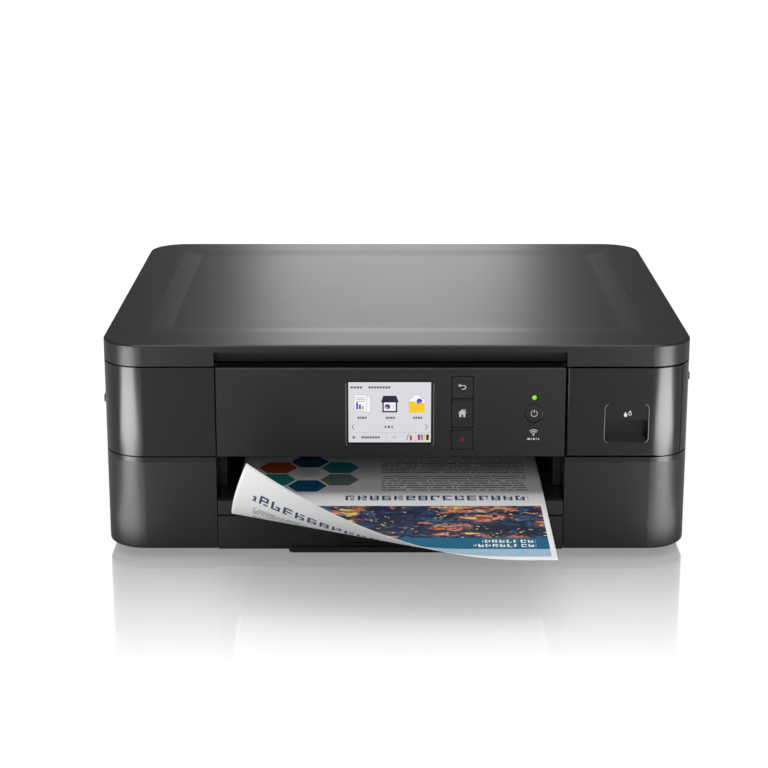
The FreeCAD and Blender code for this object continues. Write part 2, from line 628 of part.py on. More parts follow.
def make_pinch_rollers():
    positions = (-95, -78, -61, -20, -3, 14, 52, 69, 86)
    return wheels_on_axle(FEED_DEPTH, PINCH_Z, PINCH_R, positions, 10, (-115.5, 105.5))


def make_star_wheels():
    positions = [PAPER_MID - 90 + 20 * index for index in range(10)]
    return wheels_on_axle(EJECT_DEPTH, STAR_Z, STAR_R, positions, 2, (-121.0, 112.1))


def pickup_end():
    """Centre of the pickup roller, behind and below the arm's pivot."""
    depth, z, length, radius = PICKUP
    drop = 9.0
    return depth + math.sqrt(length ** 2 - drop ** 2), z - drop


def make_pickup_arm():
    depth, z = PICKUP[:2]
    end_depth, end_z = pickup_end()
    solids = [rod_x((-122.9, 114.2), depth, z, 3)]
    solids.append(rod_x((PAPER_MID - 14, PAPER_MID + 14), end_depth, end_z, 1.8))
    for x in (PAPER_MID - 14, PAPER_MID + 12):
        side = ((depth, z - 2.4), (end_depth, end_z - 2.4), (end_depth, end_z + 2.4), (depth, z + 2.4))
        solids.append(prism_x(side, (x, x + 2)))
        solids.append(rod_x((x, x + 2), end_depth, end_z, 3.5))
    return fuse(solids)


def make_pickup_roller():
    end_depth, end_z = pickup_end()
    tyre = rod_x((PAPER_MID - 11.5, PAPER_MID + 11.5), end_depth, end_z, PICKUP[3])
    return tyre.cut(rod_x((PAPER_MID - 12, PAPER_MID + 12), end_depth, end_z, 2.1))


def make_jam_cover():
    plate = block((-115, 110), (DEPTH - 2.5, DEPTH), JAM_COVER_Z)
    ribs = []
    for index in range(8):
        x = -98 + 27 * index
        rib = block((x, x + 2), (324, DEPTH - 2), (22, 66))
        rib = rib.cut(rod_x((x - 1, x + 3), TURN[0], TURN[1], TURN[2] + 3))
        ribs.append(rib)
    pivot = rod_x((-115.8, 110.8), JAM_AXIS[0], JAM_AXIS[1], 1.3)
    return fuse([plate, pivot] + ribs)


def make_printed_sheet():
    """A finished sheet lying on the tray cover and out over the front."""
    line = ((181, 43.6), (140, 45.0), (60, 46.0), (-60, 43.6), (-116, 42.2))
    points = list(line) + [(depth, z + SHEET[2]) for depth, z in reversed(line)]
    return prism_x(points, (SHEET_LEFT, SHEET_LEFT + SHEET[0]))


# ---------------------------------------------------------------- engine

def make_carriage():
    x0, x1, d0, d1, z0, z1 = CARRIAGE
    body = rounded_block((x0, x1), (d0, d1), (z0, z1), 3)
    hollow = block((x0 + 3, x1 - 3), (d0 + 3, d1 - 3), (z0 + 8, z1 - 2))
    bearing = rod_x((x0 + 8, x1 - 8), ROD[0], ROD[1], 6.4)
    web = block((x0 + 8, x1 - 8), (d1 - 2, ROD[0]), (74, 86))
    ribs = []
    for index in range(4):
        x = x0 + 18 + 16 * index
        ribs.append(block((x, x + 1.2), (d0 + 10, d1 - 10), (z1 - 1, z1 + 1.2)))
    bore = rod_x((x0, x1), ROD[0], ROD[1], ROD[2] + 0.2)
    return cut(fuse([body, web, bearing] + ribs), [hollow, bore])


def make_print_head():
    x0, x1, d0, d1, z0 = CARRIAGE[:5]
    return block((x0 + 20, x1 - 20), (d0 + 10, d1 - 8), (z0 - 2.4, z0))


def pulley(side):
    x, depth, radius, z0, z1 = BELT
    x = side * x
    wheel = rod_z(x, depth, (z0, z1), radius - 0.6)
    caps = [rod_z(x, depth, (z0 - 1.2, z0), radius + 1.2), rod_z(x, depth, (z1, z1 + 1.2), radius + 1.2)]
    return fuse([wheel] + caps).cut(rod_z(x, depth, (z0 - 3, z1 + 3), 1.4))


def make_belt():
    x, depth, radius, z0, z1 = BELT
    z = (z0 + 0.4, z1 - 0.4)
    outer = fuse([block((-x, x), (depth - radius - 0.5, depth + radius + 0.5), z),
                  rod_z(-x, depth, z, radius + 0.5), rod_z(x, depth, z, radius + 0.5)])
    inner = fuse([block((-x, x), (depth - radius + 0.4, depth + radius - 0.4), z),
                  rod_z(-x, depth, z, radius - 0.4), rod_z(x, depth, z, radius - 0.4)])
    return outer.cut(inner)


def make_motors():
    x, depth = BELT[:2]
    z0, z1 = BELT[3:]
    motor = fuse([rod_z(x, depth, (63, z0 - 2), 7), rod_z(x, depth, (z0 - 2, z1 + 2), 1.2)])
    idle_post = rod_z(-x, depth, (z0 - 8, z1 + 2), 1.2)
    idle_foot = block((-184, -171), (depth - 4, depth + 4), (z0 - 12, z0 - 8))
    feed = rod_x((-178, -158), 256, 30, 11)
    return Part.makeCompound([motor, fuse([idle_post, idle_foot]), feed])


def make_maintenance_station():
    tub = block((119, 172), (181, 226), (12, 54)).cut(block((121, 170), (183, 224), (24, 55)))
    cap = rounded_block((124, 158), (186, 220), (50, 58.8), 2)
    cap = cap.cut(block((126, 156), (188, 218), (57.6, 60)))
    post = block((136, 146), (198, 208), (23, 51))
    wiper = block((164, 165.2), (190, 216), (23, 59))
    return fuse([tub, post, cap, wiper])


def make_main_board():
    board = block((-182, -132), (45, 150), (20, 21.6))
    chips = [block((-170, -152), (60, 78), (21.5, 24)), block((-176, -160), (100, 112), (21.5, 23.4)),
             block((-150, -136), (90, 110), (21.5, 30)), block((-178, -140), (132, 140), (21.5, 29))]
    posts = [rod_z(x, d, (8.5, 20.1), 2.5) for x in (-178, -136) for d in (50, 145)]
    return fuse([board] + chips + posts)


def make_power_supply():
    return rounded_block((-174, -134), (276, 334), (8.6, 60), 2)


def make_power_inlet():
    body = rounded_block((-172, -143), (DEPTH - 8.6, DEPTH), (24, 46), 3, (0, 1, 0))
    well = rounded_block((-170, -145), (DEPTH - 6.6, DEPTH + 1), (26, 44), 2.5, (0, 1, 0))
    pins = [rod_y(x, (DEPTH - 7, DEPTH - 1.5), 35, 1.3) for x in (-162, -153)]
    return fuse([body.cut(well)] + pins)


def all_parts():
    parts = {
        "lower_case": make_lower_case(),
        "rubber_feet": make_feet(),
        "case_screws": make_screws(),
        "upper_case": make_upper_case(),
        "cartridge_holder": make_cartridge_holder(),
        "panel_cover": make_panel(),
        "touchscreen": make_touchscreen(),
        "power_button": make_power_button(),
        "status_light": make_status_light(),
        "ink_door": make_ink_door(),
        "scanner_tub": make_scanner_tub(),
        "glass_frame": make_glass_frame(),
        "scanner_glass": make_scanner_glass(),
        "scan_rod": make_scan_rod(),
        "scan_head": make_scan_head(),
        "scanner_stay": make_stay(),
        "lid_posts": make_lid_posts(),
        "lid_shell": make_lid_shell(),
        "lid_base": make_lid_base(),
        "lid_pad": make_lid_pad(),
        "paper_tray": make_paper_tray(),
        "tray_front": make_tray_front(),
        "tray_cover": make_tray_cover(),
        "paper_support": make_paper_support(),
        "width_guide_left": make_width_guide(-1),
        "width_guide_right": make_width_guide(1),
        "guide_pinion": make_guide_pinion(),
        "length_guide": make_length_guide(),
        "engine_frame": make_engine_frame(),
        "carriage_rail": make_carriage_rail(),
        "platen": make_platen(),
        "turn_guide": make_turn_guide(),
        "pinch_holder": make_pinch_holder(),
        "star_holder": make_star_holder(),
        "feed_roller": roller(FEED_DEPTH),
        "eject_roller": roller(EJECT_DEPTH),
        "idler_gear": make_idler_gear(),
        "pinch_rollers": make_pinch_rollers(),
        "star_wheels": make_star_wheels(),
        "pickup_arm": make_pickup_arm(),
        "pickup_roller": make_pickup_roller(),
        "jam_cover": make_jam_cover(),
        "printed_sheet": make_printed_sheet(),
        "print_carriage": make_carriage(),
        "print_head": make_print_head(),
        "drive_pulley": pulley(1),
        "idler_pulley": pulley(-1),
        "drive_belt": make_belt(),
        "drive_motors": make_motors(),
        "maintenance_station": make_maintenance_station(),
        "main_board": make_main_board(),
        "power_supply": make_power_supply(),
        "power_inlet": make_power_inlet(),
    }
    for name, (low, high) in zip(("back_key", "home_key", "stop_key"), KEYS):
        parts[name] = make_key(low, high)
    for index, colour in enumerate(("black", "yellow", "cyan", "magenta")):
        parts["cartridge_" + colour] = make_cartridge(index)
    return parts


os.makedirs("parts", exist_ok=True)
for node, shape in all_parts().items():
    shape.exportStep("parts/" + node + ".step")
    box = shape.BoundBox
    state = "valid" if shape.isValid() else "INVALID"
    print(f"{node}: {state}, {len(shape.Solids)} solids, {box.XLength:.1f} x {box.YLength:.1f} x {box.ZLength:.1f} mm")
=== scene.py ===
# %% [markdown]
# # A desktop inkjet printer
# The machine's rigid parts arrive as an engineering model that already has the right sizes and places.
# This lesson dresses them: it adds the moulded finish, the lit screen, the printed symbols and a page
# whose corner has curled up. The box of the engineering model is kept.

# %% Load the frame
import math

import bmesh
import bpy
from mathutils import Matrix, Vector


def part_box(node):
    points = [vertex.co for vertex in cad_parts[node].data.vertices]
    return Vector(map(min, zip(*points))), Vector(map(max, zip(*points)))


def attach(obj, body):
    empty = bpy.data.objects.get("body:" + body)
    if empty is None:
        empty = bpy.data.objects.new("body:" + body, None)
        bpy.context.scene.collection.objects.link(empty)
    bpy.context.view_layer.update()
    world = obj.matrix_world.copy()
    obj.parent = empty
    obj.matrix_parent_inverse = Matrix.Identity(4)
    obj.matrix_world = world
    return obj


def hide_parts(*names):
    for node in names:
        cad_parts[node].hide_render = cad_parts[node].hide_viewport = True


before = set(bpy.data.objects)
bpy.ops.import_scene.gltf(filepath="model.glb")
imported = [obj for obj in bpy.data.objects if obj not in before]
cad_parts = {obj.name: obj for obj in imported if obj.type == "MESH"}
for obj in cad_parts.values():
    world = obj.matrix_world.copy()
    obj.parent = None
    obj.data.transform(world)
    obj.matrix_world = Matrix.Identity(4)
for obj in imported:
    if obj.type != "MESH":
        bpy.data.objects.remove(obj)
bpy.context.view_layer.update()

MM = 0.001
case_low, case_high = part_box("lower_case")
FRONT = case_low.y
print("printer body", [round(v / MM) for v in case_high - case_low], "mm")

# %% [markdown]
# ## The camera
# A product picture is taken from a little above with a long lens, so that the front stays square.
# A lens of about 93 mm, 1.29 m in front of the panel and 480 mm above the table, looks down by 15.4 degrees.

# %% Camera
CAMERA_AWAY = 1288.4 * MM
CAMERA_HEIGHT = 480.1 * MM
CAMERA_SIDE = -8.7 * MM
CAMERA_PITCH = 15.444

camera_data = bpy.data.cameras.new("camera")
camera_data.lens = 93.16
camera_data.sensor_width = 36
camera = bpy.data.objects.new("camera", camera_data)
camera.location = (CAMERA_SIDE, FRONT - CAMERA_AWAY, CAMERA_HEIGHT)
camera.rotation_euler = (math.radians(90 - CAMERA_PITCH), 0, 0)
bpy.context.scene.collection.objects.link(camera)
bpy.context.scene.camera = camera
print("camera", [round(v, 3) for v in camera.location], "m, lens", round(camera_data.lens, 1), "mm")

# %% [markdown]
# ## Small helpers for materials
# Each finish is a short chain of nodes. One helper adds a node and links or sets its inputs, so that a
# chain reads from top to bottom. All patterns are placed by Object coordinates, which are metres here.

# %% Node helpers


def srgb(red, green, blue):
    """A display colour of 0 to 255 as the linear colour that shaders use."""
    shares = [value / 255 for value in (red, green, blue)]
    linear = [((s + 0.055) / 1.055) ** 2.4 if s > 0.04 else s / 12.92 for s in shares]
    return (*linear, 1.0)


class Finish:
    """A material with its node tree and its main shader."""

    def __init__(self, name):
        self.material = bpy.data.materials.new(name)
        self.material.use_nodes = True
        self.tree = self.material.node_tree
        self.shader = self.tree.nodes["Principled BSDF"]

    def set(self, **values):
        for key, value in values.items():
            self.shader.inputs[key.replace("_", " ")].default_value = value
        return self

    def plug(self, socket, name):
        self.tree.links.new(socket, self.shader.inputs[name])

    def add(self, kind, *inputs, **settings):
        node = self.tree.nodes.new("ShaderNode" + kind)
        for key, value in settings.items():
            setattr(node, key, value)
        for index, value in enumerate(inputs):
            if value is None:
                continue
            if isinstance(value, bpy.types.NodeSocket):
                self.tree.links.new(value, node.inputs[index])
            else:
                node.inputs[index].default_value = value
        return node

    def place(self):
        return self.add("TexCoord").outputs["Object"]

    def noise(self, place, scale, detail=2.0):
        node = self.add("TexNoise")
        self.tree.links.new(place, node.inputs["Vector"])
        node.inputs["Scale"].default_value = scale
        node.inputs["Detail"].default_value = detail
        return node.outputs["Fac"]

    def spread(self, value, low, high, start=0.0, end=1.0):
        """Maps a value between start and end to low and high."""
        return self.add("MapRange", value, start, end, low, high).outputs[0]

    def math(self, operation, first, second=0.0):
        return self.add("Math", first, second, operation=operation).outputs[0]

    def mix(self, factor, first, second):
        """Colour mix."""
        node = self.add("Mix", data_type="RGBA")
        for name, value in (("Factor_Float", factor), ("A_Color", first), ("B_Color", second)):
            socket = [s for s in node.inputs if s.identifier == name][0]
            if isinstance(value, bpy.types.NodeSocket):
                self.tree.links.new(value, socket)
            else:
                socket.default_value = value
        return [s for s in node.outputs if s.identifier == "Result_Color"][0]

    def bump(self, height, depth, strength=1.0):
        node = self.add("Bump")
        node.inputs["Distance"].default_value = depth
        if isinstance(strength, bpy.types.NodeSocket):
            self.tree.links.new(strength, node.inputs["Strength"])
        else:
            node.inputs["Strength"].default_value = strength
        self.tree.links.new(height, node.inputs["Height"])
        self.plug(node.outputs["Normal"], "Normal")


# %% [markdown]
# ## Moulded plastic
# Black printer shells are injection moulded. The mould is etched with a fine grain, which spreads a
# reflection without making it dull. Noise about half a millimetre across gives the grain, and a much
# larger noise lets gloss and colour wander a little, as they do on a real moulding.

# %% Moulded plastic


def moulded(name, dark, light, rough, grain=2200.0, depth=0.00002, wander=0.035):
    finish = Finish(name)
    place = finish.place()
    fine = finish.noise(place, grain, 1.0)
    broad = finish.noise(place, 14.0, 3.0)
    finish.plug(finish.mix(finish.spread(fine, 0.0, 1.0, 0.3, 0.7), dark, light), "Base Color")
    finish.plug(finish.spread(broad, rough - wander, rough + wander, 0.3, 0.7), "Roughness")
    finish.bump(fine, depth)
    return finish.material


STRIP_Z, UPPER_Z = 69.0, 73.0


def two_zone_case():
    """Grained below, with a smooth polished strip along the top edge of the lower case."""
    finish = Finish("case_plastic")
    place = finish.place()
    fine = finish.noise(place, 1500.0, 2.0)
    height = finish.add("SeparateXYZ", place).outputs["Z"]
    strip = finish.spread(height, 0.0, 1.0, (STRIP_Z - 0.3) * MM, (STRIP_Z + 0.1) * MM)
    upper = finish.spread(height, 0.0, 1.0, (UPPER_Z - 0.2) * MM, UPPER_Z * MM)
    colour = finish.mix(finish.spread(fine, 0.0, 1.0, 0.3, 0.7), srgb(21, 21, 21), srgb(29, 29, 29))
    finish.plug(finish.mix(strip, colour, srgb(23, 23, 23)), "Base Color")
    smooth = finish.math("MAXIMUM", strip, upper)
    finish.plug(finish.spread(smooth, 0.36, 0.21), "Roughness")
    finish.bump(fine, 0.00006, finish.spread(smooth, 1.0, 0.12))
    return finish.material


SHELL = two_zone_case()
LID = moulded("lid_plastic", srgb(22, 22, 22), srgb(26, 26, 26), 0.34, 2600.0, 0.000006, 0.006)
PANEL = moulded("panel_plastic", srgb(24, 24, 24), srgb(29, 29, 29), 0.36, 2400.0, 0.00001)
TRAY = moulded("tray_plastic", srgb(25, 25, 25), srgb(32, 32, 32), 0.5, 1500.0, 0.00006)
INNER = moulded("inner_plastic", srgb(14, 14, 14), srgb(20, 20, 20), 0.6, 1200.0, 0.00004)
GLOSS = moulded("key_plastic", srgb(23, 23, 23), srgb(27, 27, 27), 0.38, 2600.0, 0.000006)
SCREEN = moulded("screen_cover", srgb(6, 6, 7), srgb(9, 9, 10), 0.3, 2600.0, 0.000001)
WHITE = moulded("white_plastic", srgb(226, 226, 222), srgb(236, 236, 233), 0.45, 1500.0, 0.00002)
ACETAL = moulded("gear_plastic", srgb(214, 210, 196), srgb(226, 222, 210), 0.4, 900.0, 0.00002)
print("moulded finishes", len(bpy.data.materials))

# %% [markdown]
# ## Rubber, steel, glass and the other finishes
# Rubber is dull with a coarse skin, rolled steel has faint lines along its length, and float glass is
# almost all transmission. Each cartridge body carries its own ink colour.

# %% Other finishes


def rubber(name, dark, light):
    finish = Finish(name)
    place = finish.place()
    skin = finish.noise(place, 900.0, 4.0)
    finish.plug(finish.mix(skin, dark, light), "Base Color")
    finish.plug(finish.spread(skin, 0.62, 0.82), "Roughness")
    finish.bump(skin, 0.0001)
    return finish.material


def brushed_steel():
    finish = Finish("steel")
    stretched = finish.add("Mapping", finish.place(), None, None, (6.0, 900.0, 900.0)).outputs[0]
    lines = finish.noise(stretched, 1.0, 2.0)
    finish.plug(finish.mix(lines, srgb(158, 160, 163), srgb(196, 198, 200)), "Base Color")
    finish.plug(finish.spread(lines, 0.24, 0.42), "Roughness")
    finish.set(Metallic=1.0)
    finish.bump(lines, 0.00001)
    return finish.material


def float_glass():
    finish = Finish("float_glass")
    ripple = finish.noise(finish.place(), 8.0, 1.0)
    finish.plug(finish.mix(ripple, srgb(206, 232, 226), srgb(214, 238, 233)), "Base Color")
    finish.plug(finish.spread(ripple, 0.01, 0.04), "Roughness")
    finish.set(Transmission_Weight=0.95, IOR=1.5)
    return finish.material


def foam():
    finish = Finish("pad_foam")
    place = finish.place()
    cells = finish.add("TexVoronoi")
    finish.tree.links.new(place, cells.inputs["Vector"])
    cells.inputs["Scale"].default_value = 900.0
    pore = cells.outputs["Distance"]
    finish.plug(finish.mix(pore, srgb(240, 240, 238), srgb(228, 228, 226)), "Base Color")
    finish.plug(finish.spread(pore, 0.65, 0.85), "Roughness")
    finish.bump(pore, 0.00008)
    return finish.material


def circuit():
    """Solder mask with copper tracks showing through as a lighter green."""
    finish = Finish("circuit_board")
    place = finish.place()
    brick = finish.add("TexBrick")
    finish.tree.links.new(place, brick.inputs["Vector"])
    brick.inputs["Scale"].default_value = 220.0
    brick.inputs["Color1"].default_value = srgb(18, 92, 44)
    brick.inputs["Color2"].default_value = srgb(24, 104, 52)
    brick.inputs["Mortar"].default_value = srgb(52, 140, 78)
    finish.plug(brick.outputs["Color"], "Base Color")
    finish.plug(finish.spread(finish.noise(place, 60.0), 0.28, 0.4), "Roughness")
    finish.bump(brick.outputs["Fac"], 0.00004)
    return finish.material


STEEL = brushed_steel()
GLASS = float_glass()
FOAM = foam()
BOARD = circuit()
FOOT = rubber("foot_rubber", srgb(22, 22, 22), srgb(40, 40, 40))
ROLLER = rubber("roller_rubber", srgb(46, 46, 47), srgb(66, 66, 67))
BELT = rubber("belt_rubber", srgb(16, 16, 16), srgb(28, 28, 28))
INKS = {
    "cartridge_black": moulded("ink_black", srgb(30, 30, 30), srgb(40, 40, 40), 0.35),
    "cartridge_yellow": moulded("ink_yellow", srgb(232, 200, 30), srgb(240, 210, 44), 0.35),
    "cartridge_cyan": moulded("ink_cyan", srgb(30, 150, 205), srgb(42, 162, 214), 0.35),
    "cartridge_magenta": moulded("ink_magenta", srgb(205, 40, 120), srgb(214, 54, 132), 0.35),
}


def glow(name, colour, strength, body=0.1):
    """A lit colour with faint mottling; body is how much of the colour shows when it isn't lit."""
    finish = Finish(name)
    mottle = finish.noise(finish.place(), 700.0, 2.0)
    shade = finish.mix(mottle, tuple(c * 0.95 for c in colour[:3]) + (1.0,), colour)
    finish.plug(finish.mix(body, (0.0, 0.0, 0.0, 1.0), shade), "Base Color")
    finish.plug(finish.spread(mottle, 0.25, 0.35), "Roughness")
    finish.plug(shade, "Emission Color")
    finish.set(Emission_Strength=strength)
    return finish.material


LED = glow("green_light", srgb(120, 225, 40), 0.95, 0.3)
print("finishes so far", len(bpy.data.materials))

# %% [markdown]
# ## Which part gets which finish
# On a bench the parts sort into a few heaps: outer shells, inner mouldings, white plastic, gears, steel,
# rubber. Each could get a finish of its own, but parts from one mould shop share theirs, so one table from
# finish to parts says it all. The engineering shapes stay as they are; only their material changes.

# %% Give every engineering node its finish
NODE_FINISH = {
    SHELL: ("lower_case", "upper_case", "scanner_tub", "ink_door", "jam_cover", "glass_frame"),
    LID: ("lid_shell",),
    PANEL: ("panel_cover", "power_button"),
    GLOSS: ("back_key", "home_key", "stop_key"),
    SCREEN: ("touchscreen",),
    TRAY: ("paper_tray", "tray_front", "tray_cover", "width_guide_left", "width_guide_right",
           "length_guide", "paper_support"),
    INNER: ("cartridge_holder", "platen", "turn_guide", "pinch_holder", "star_holder", "power_supply",
            "power_inlet", "lid_posts", "scan_head", "scanner_stay", "print_carriage", "pickup_arm",
            "drive_motors"),
    WHITE: ("lid_base", "maintenance_station"),
    FOAM: ("lid_pad",),
    ACETAL: ("guide_pinion", "drive_pulley", "idler_pulley", "idler_gear", "pinch_rollers", "star_wheels"),
    STEEL: ("engine_frame", "carriage_rail", "scan_rod", "print_head", "case_screws"),
    ROLLER: ("feed_roller", "eject_roller", "pickup_roller"),
    BELT: ("drive_belt",),
    FOOT: ("rubber_feet",),
    GLASS: ("scanner_glass",),
    BOARD: ("main_board",),
    LED: ("status_light",),
}


def dress(node_name, material):
    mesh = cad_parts[node_name].data
    mesh.materials.clear()
    mesh.materials.append(material)


for material, names in NODE_FINISH.items():
    for node_name in names:
        dress(node_name, material)
for node_name, material in INKS.items():
    dress(node_name, material)
print("nodes dressed", sum(len(names) for names in NODE_FINISH.values()) + len(INKS))

# %% [markdown]
# ## Flat art: the screen picture and the key symbols
# Symbols on a panel are printed ink, thin but real. Each symbol is an outline in the plane of the front,
# given a thickness of a few hundredths of a millimetre, so the pieces stay closed solids. Layers of a
# picture lie on top of each other by the same amount.

# %% Flat art helpers
LAYER = 0.03


def art_piece(name, shapes, body, depth):
    """Closed thin plates in the front plane; depth is behind the front face, in millimetres."""
    mesh = bpy.data.meshes.new(name)
    build = bmesh.new()
    materials = []
    for outline, material, layer in shapes:
        if material not in materials:
            materials.append(material)
        back = FRONT + depth * MM
        front = back - (layer + 1) * LAYER * MM
        near = [build.verts.new((x * MM, front, z * MM)) for x, z in outline]
        far = [build.verts.new((x * MM, back, z * MM)) for x, z in outline]
        faces = [build.faces.new(near), build.faces.new(far[::-1])]
        count = len(outline)
        for i in range(count):
            j = (i + 1) % count
            faces.append(build.faces.new((near[j], near[i], far[i], far[j])))
        for face in faces:
            face.material_index = materials.index(material)
    bmesh.ops.recalc_face_normals(build, faces=build.faces)
    build.to_mesh(mesh)
    build.free()
    for material in materials:
        mesh.materials.append(material)
    piece = bpy.data.objects.new(name, mesh)
    bpy.context.scene.collection.objects.link(piece)
    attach(piece, body)
    print(name, len(mesh.polygons), "faces")


def bar(x0, x1, z0, z1):
    return [(x0, z0), (x1, z0), (x1, z1), (x0, z1)]


def disc(x, z, radius, count=28):
    turn = 2 * math.pi / count
    return [(x + radius * math.cos(i * turn), z + radius * math.sin(i * turn)) for i in range(count)]


def arc_band(x, z, inner, outer, start, end, count=18):
    """Part of a ring between two angles, in degrees."""
    angles = [math.radians(start + (end - start) * i / count) for i in range(count + 1)]
    rim = [(x + outer * math.cos(a), z + outer * math.sin(a)) for a in angles]
    return rim + [(x + inner * math.cos(a), z + inner * math.sin(a)) for a in reversed(angles)]


def stroke(x0, z0, x1, z1, width):
    """A straight bar of some width between two points."""
    along = Vector((x1 - x0, z1 - z0)).normalized() * (width / 2)
    side = Vector((-along.y, along.x))
    return [(x0 + side.x, z0 + side.y), (x0 - side.x, z0 - side.y),
            (x1 - side.x, z1 - side.y), (x1 + side.x, z1 + side.y)]


def drop(x, z, radius):
    """A round drop with a pointed top."""
    round_part = [(x + radius * math.cos(a), z + radius * math.sin(a))
                  for a in (math.radians(150 + 240 * i / 20) for i in range(21))]
    return round_part + [(x, z + radius * 2.1)]


# %% [markdown]
# ## Inks and screen colours
# The symbols are paint, and the light lines are painted highlights standing for bevels; both only reflect.
# The screen is a lit display: each of its colours emits, and reflects little. Faint mottling keeps both from
# looking like cut paper.

# %% Inks and screen colours
INK_WHITE = moulded("symbol_white", srgb(198, 198, 198), srgb(208, 208, 208), 0.45)
INK_RED = moulded("symbol_red", srgb(150, 28, 46), srgb(158, 32, 52), 0.45)
SCREEN_BACK = glow("screen_background", srgb(216, 215, 220), 0.95)
SCREEN_GREY = glow("screen_grey", srgb(92, 93, 98), 0.95)
SCREEN_LINE = glow("screen_line", srgb(178, 178, 184), 0.95)
SCREEN_WHITE = glow("screen_white", srgb(242, 242, 244), 0.95)
SCREEN_NAVY = glow("screen_navy", srgb(34, 28, 58), 0.95)
SCREEN_BLUE = glow("screen_blue", srgb(24, 66, 190), 0.95)
SCREEN_ORANGE = glow("screen_orange", srgb(236, 140, 40), 0.95)
SCREEN_YELLOW = glow("screen_yellow", srgb(248, 200, 16), 0.95)
SCREEN_RED = glow("screen_red", srgb(196, 30, 38), 0.95)
SCREEN_MAGENTA = glow("screen_magenta", srgb(214, 22, 120), 0.95)
SCREEN_CYAN = glow("screen_cyan", srgb(60, 160, 210), 0.95)
SCREEN_BLACK = glow("screen_black", srgb(20, 20, 22), 0.95)
# painted highlight: light grey paint for the light that the bevels round the screen and the pocket catch
RIM_HIGHLIGHT = moulded("painted_highlight_rim", srgb(144, 144, 144), srgb(152, 152, 152), 0.26)
print("paints and screen colours made,", len(bpy.data.materials), "materials so far")

# %% [markdown]
# ## The picture on the touch screen
# The display shows three tiles, a page count and a bar of small signs. An image would be the usual way;
# shapes are used here, since they stay sharp and need no file. Labels are rows of blocks without meaning.
# Every shape has a layer number, and a higher layer stands a little further out.

# %% The picture on the touch screen
LEFT, RIGHT, LOW, HIGH = -32.7, 23.0, 83.1, 125.3


def copy_icon(x, z):
    shapes = [(bar(x + 1.4, x + 7.0, z - 6.4, z + 5.0), SCREEN_LINE, 1)]
    shapes.append((bar(x + 1.7, x + 6.7, z - 6.1, z + 4.7), SCREEN_WHITE, 2))
    shapes.append((bar(x - 4.3, x + 4.3, z - 5.4, z + 6.0), SCREEN_LINE, 3))
    shapes.append((bar(x - 4.0, x + 4.0, z - 5.1, z + 5.7), SCREEN_WHITE, 4))
    for index in range(3):
        shapes.append((bar(x - 3.0, x + 2.8, z + 3.8 - index * 1.3, z + 4.1 - index * 1.3), SCREEN_GREY, 5))
    chart = ((-2.9, 0.6, SCREEN_BLUE), (-1.0, -0.8, SCREEN_BLUE), (0.9, -2.0, SCREEN_ORANGE))
    for offset, top, colour in chart:
        shapes.append((bar(x + offset, x + offset + 1.3, z - 4.2, z + top), colour, 5))
    return shapes


def scan_icon(x, z):
    lid = [(x - 6.0, z + 0.6), (x + 6.0, z + 0.6), (x + 4.4, z + 5.3), (x - 4.4, z + 5.3)]
    shapes = [(lid, SCREEN_NAVY, 1), (bar(x - 5.0, x + 5.0, z - 6.4, z + 0.6), SCREEN_NAVY, 1)]
    shapes.append((bar(x - 4.0, x + 4.0, z - 5.3, z + 0.6), SCREEN_WHITE, 2))
    shapes.append((disc(x - 1.6, z - 2.4, 1.9), SCREEN_BLUE, 3))
    shapes.append((arc_band(x - 1.6, z - 2.4, 0.05, 1.9, 180, 290), SCREEN_ORANGE, 4))
    for index in range(3):
        shapes.append((bar(x + 1.2, x + 3.2, z - 1.6 - index, z - 1.3 - index), SCREEN_LINE, 3))
    return shapes


def folder_icon(x, z):
    puffs = ((0, 3.0, 3.4), (-3.2, 1.4, 2.5), (3.4, 1.2, 2.5))
    shapes = [(disc(x + dx, z + dz, r), SCREEN_LINE, 1) for dx, dz, r in puffs]
    shapes += [(disc(x + dx, z + dz, r - 0.3), SCREEN_WHITE, 2) for dx, dz, r in puffs]
    shapes.append((bar(x - 5.2, x + 5.4, z - 6.4, z + 0.2), SCREEN_YELLOW, 3))
    shapes.append((bar(x - 5.2, x - 0.8, z + 0.2, z + 1.3), SCREEN_YELLOW, 3))
    shapes.append((disc(x + 1.8, z + 1.4, 1.9), SCREEN_BLUE, 4))
    shapes.append((arc_band(x + 1.8, z + 1.4, 0.05, 1.9, 250, 350), SCREEN_ORANGE, 5))
    return shapes


def word(x, z, widths, height=1.3, gap=0.4):
    """A row of small blocks that stands for a label."""
    shapes = []
    for width in widths:
        shapes.append((bar(x, x + width, z - height / 2, z + height / 2), SCREEN_GREY, 1))
        x += width + gap
    return shapes


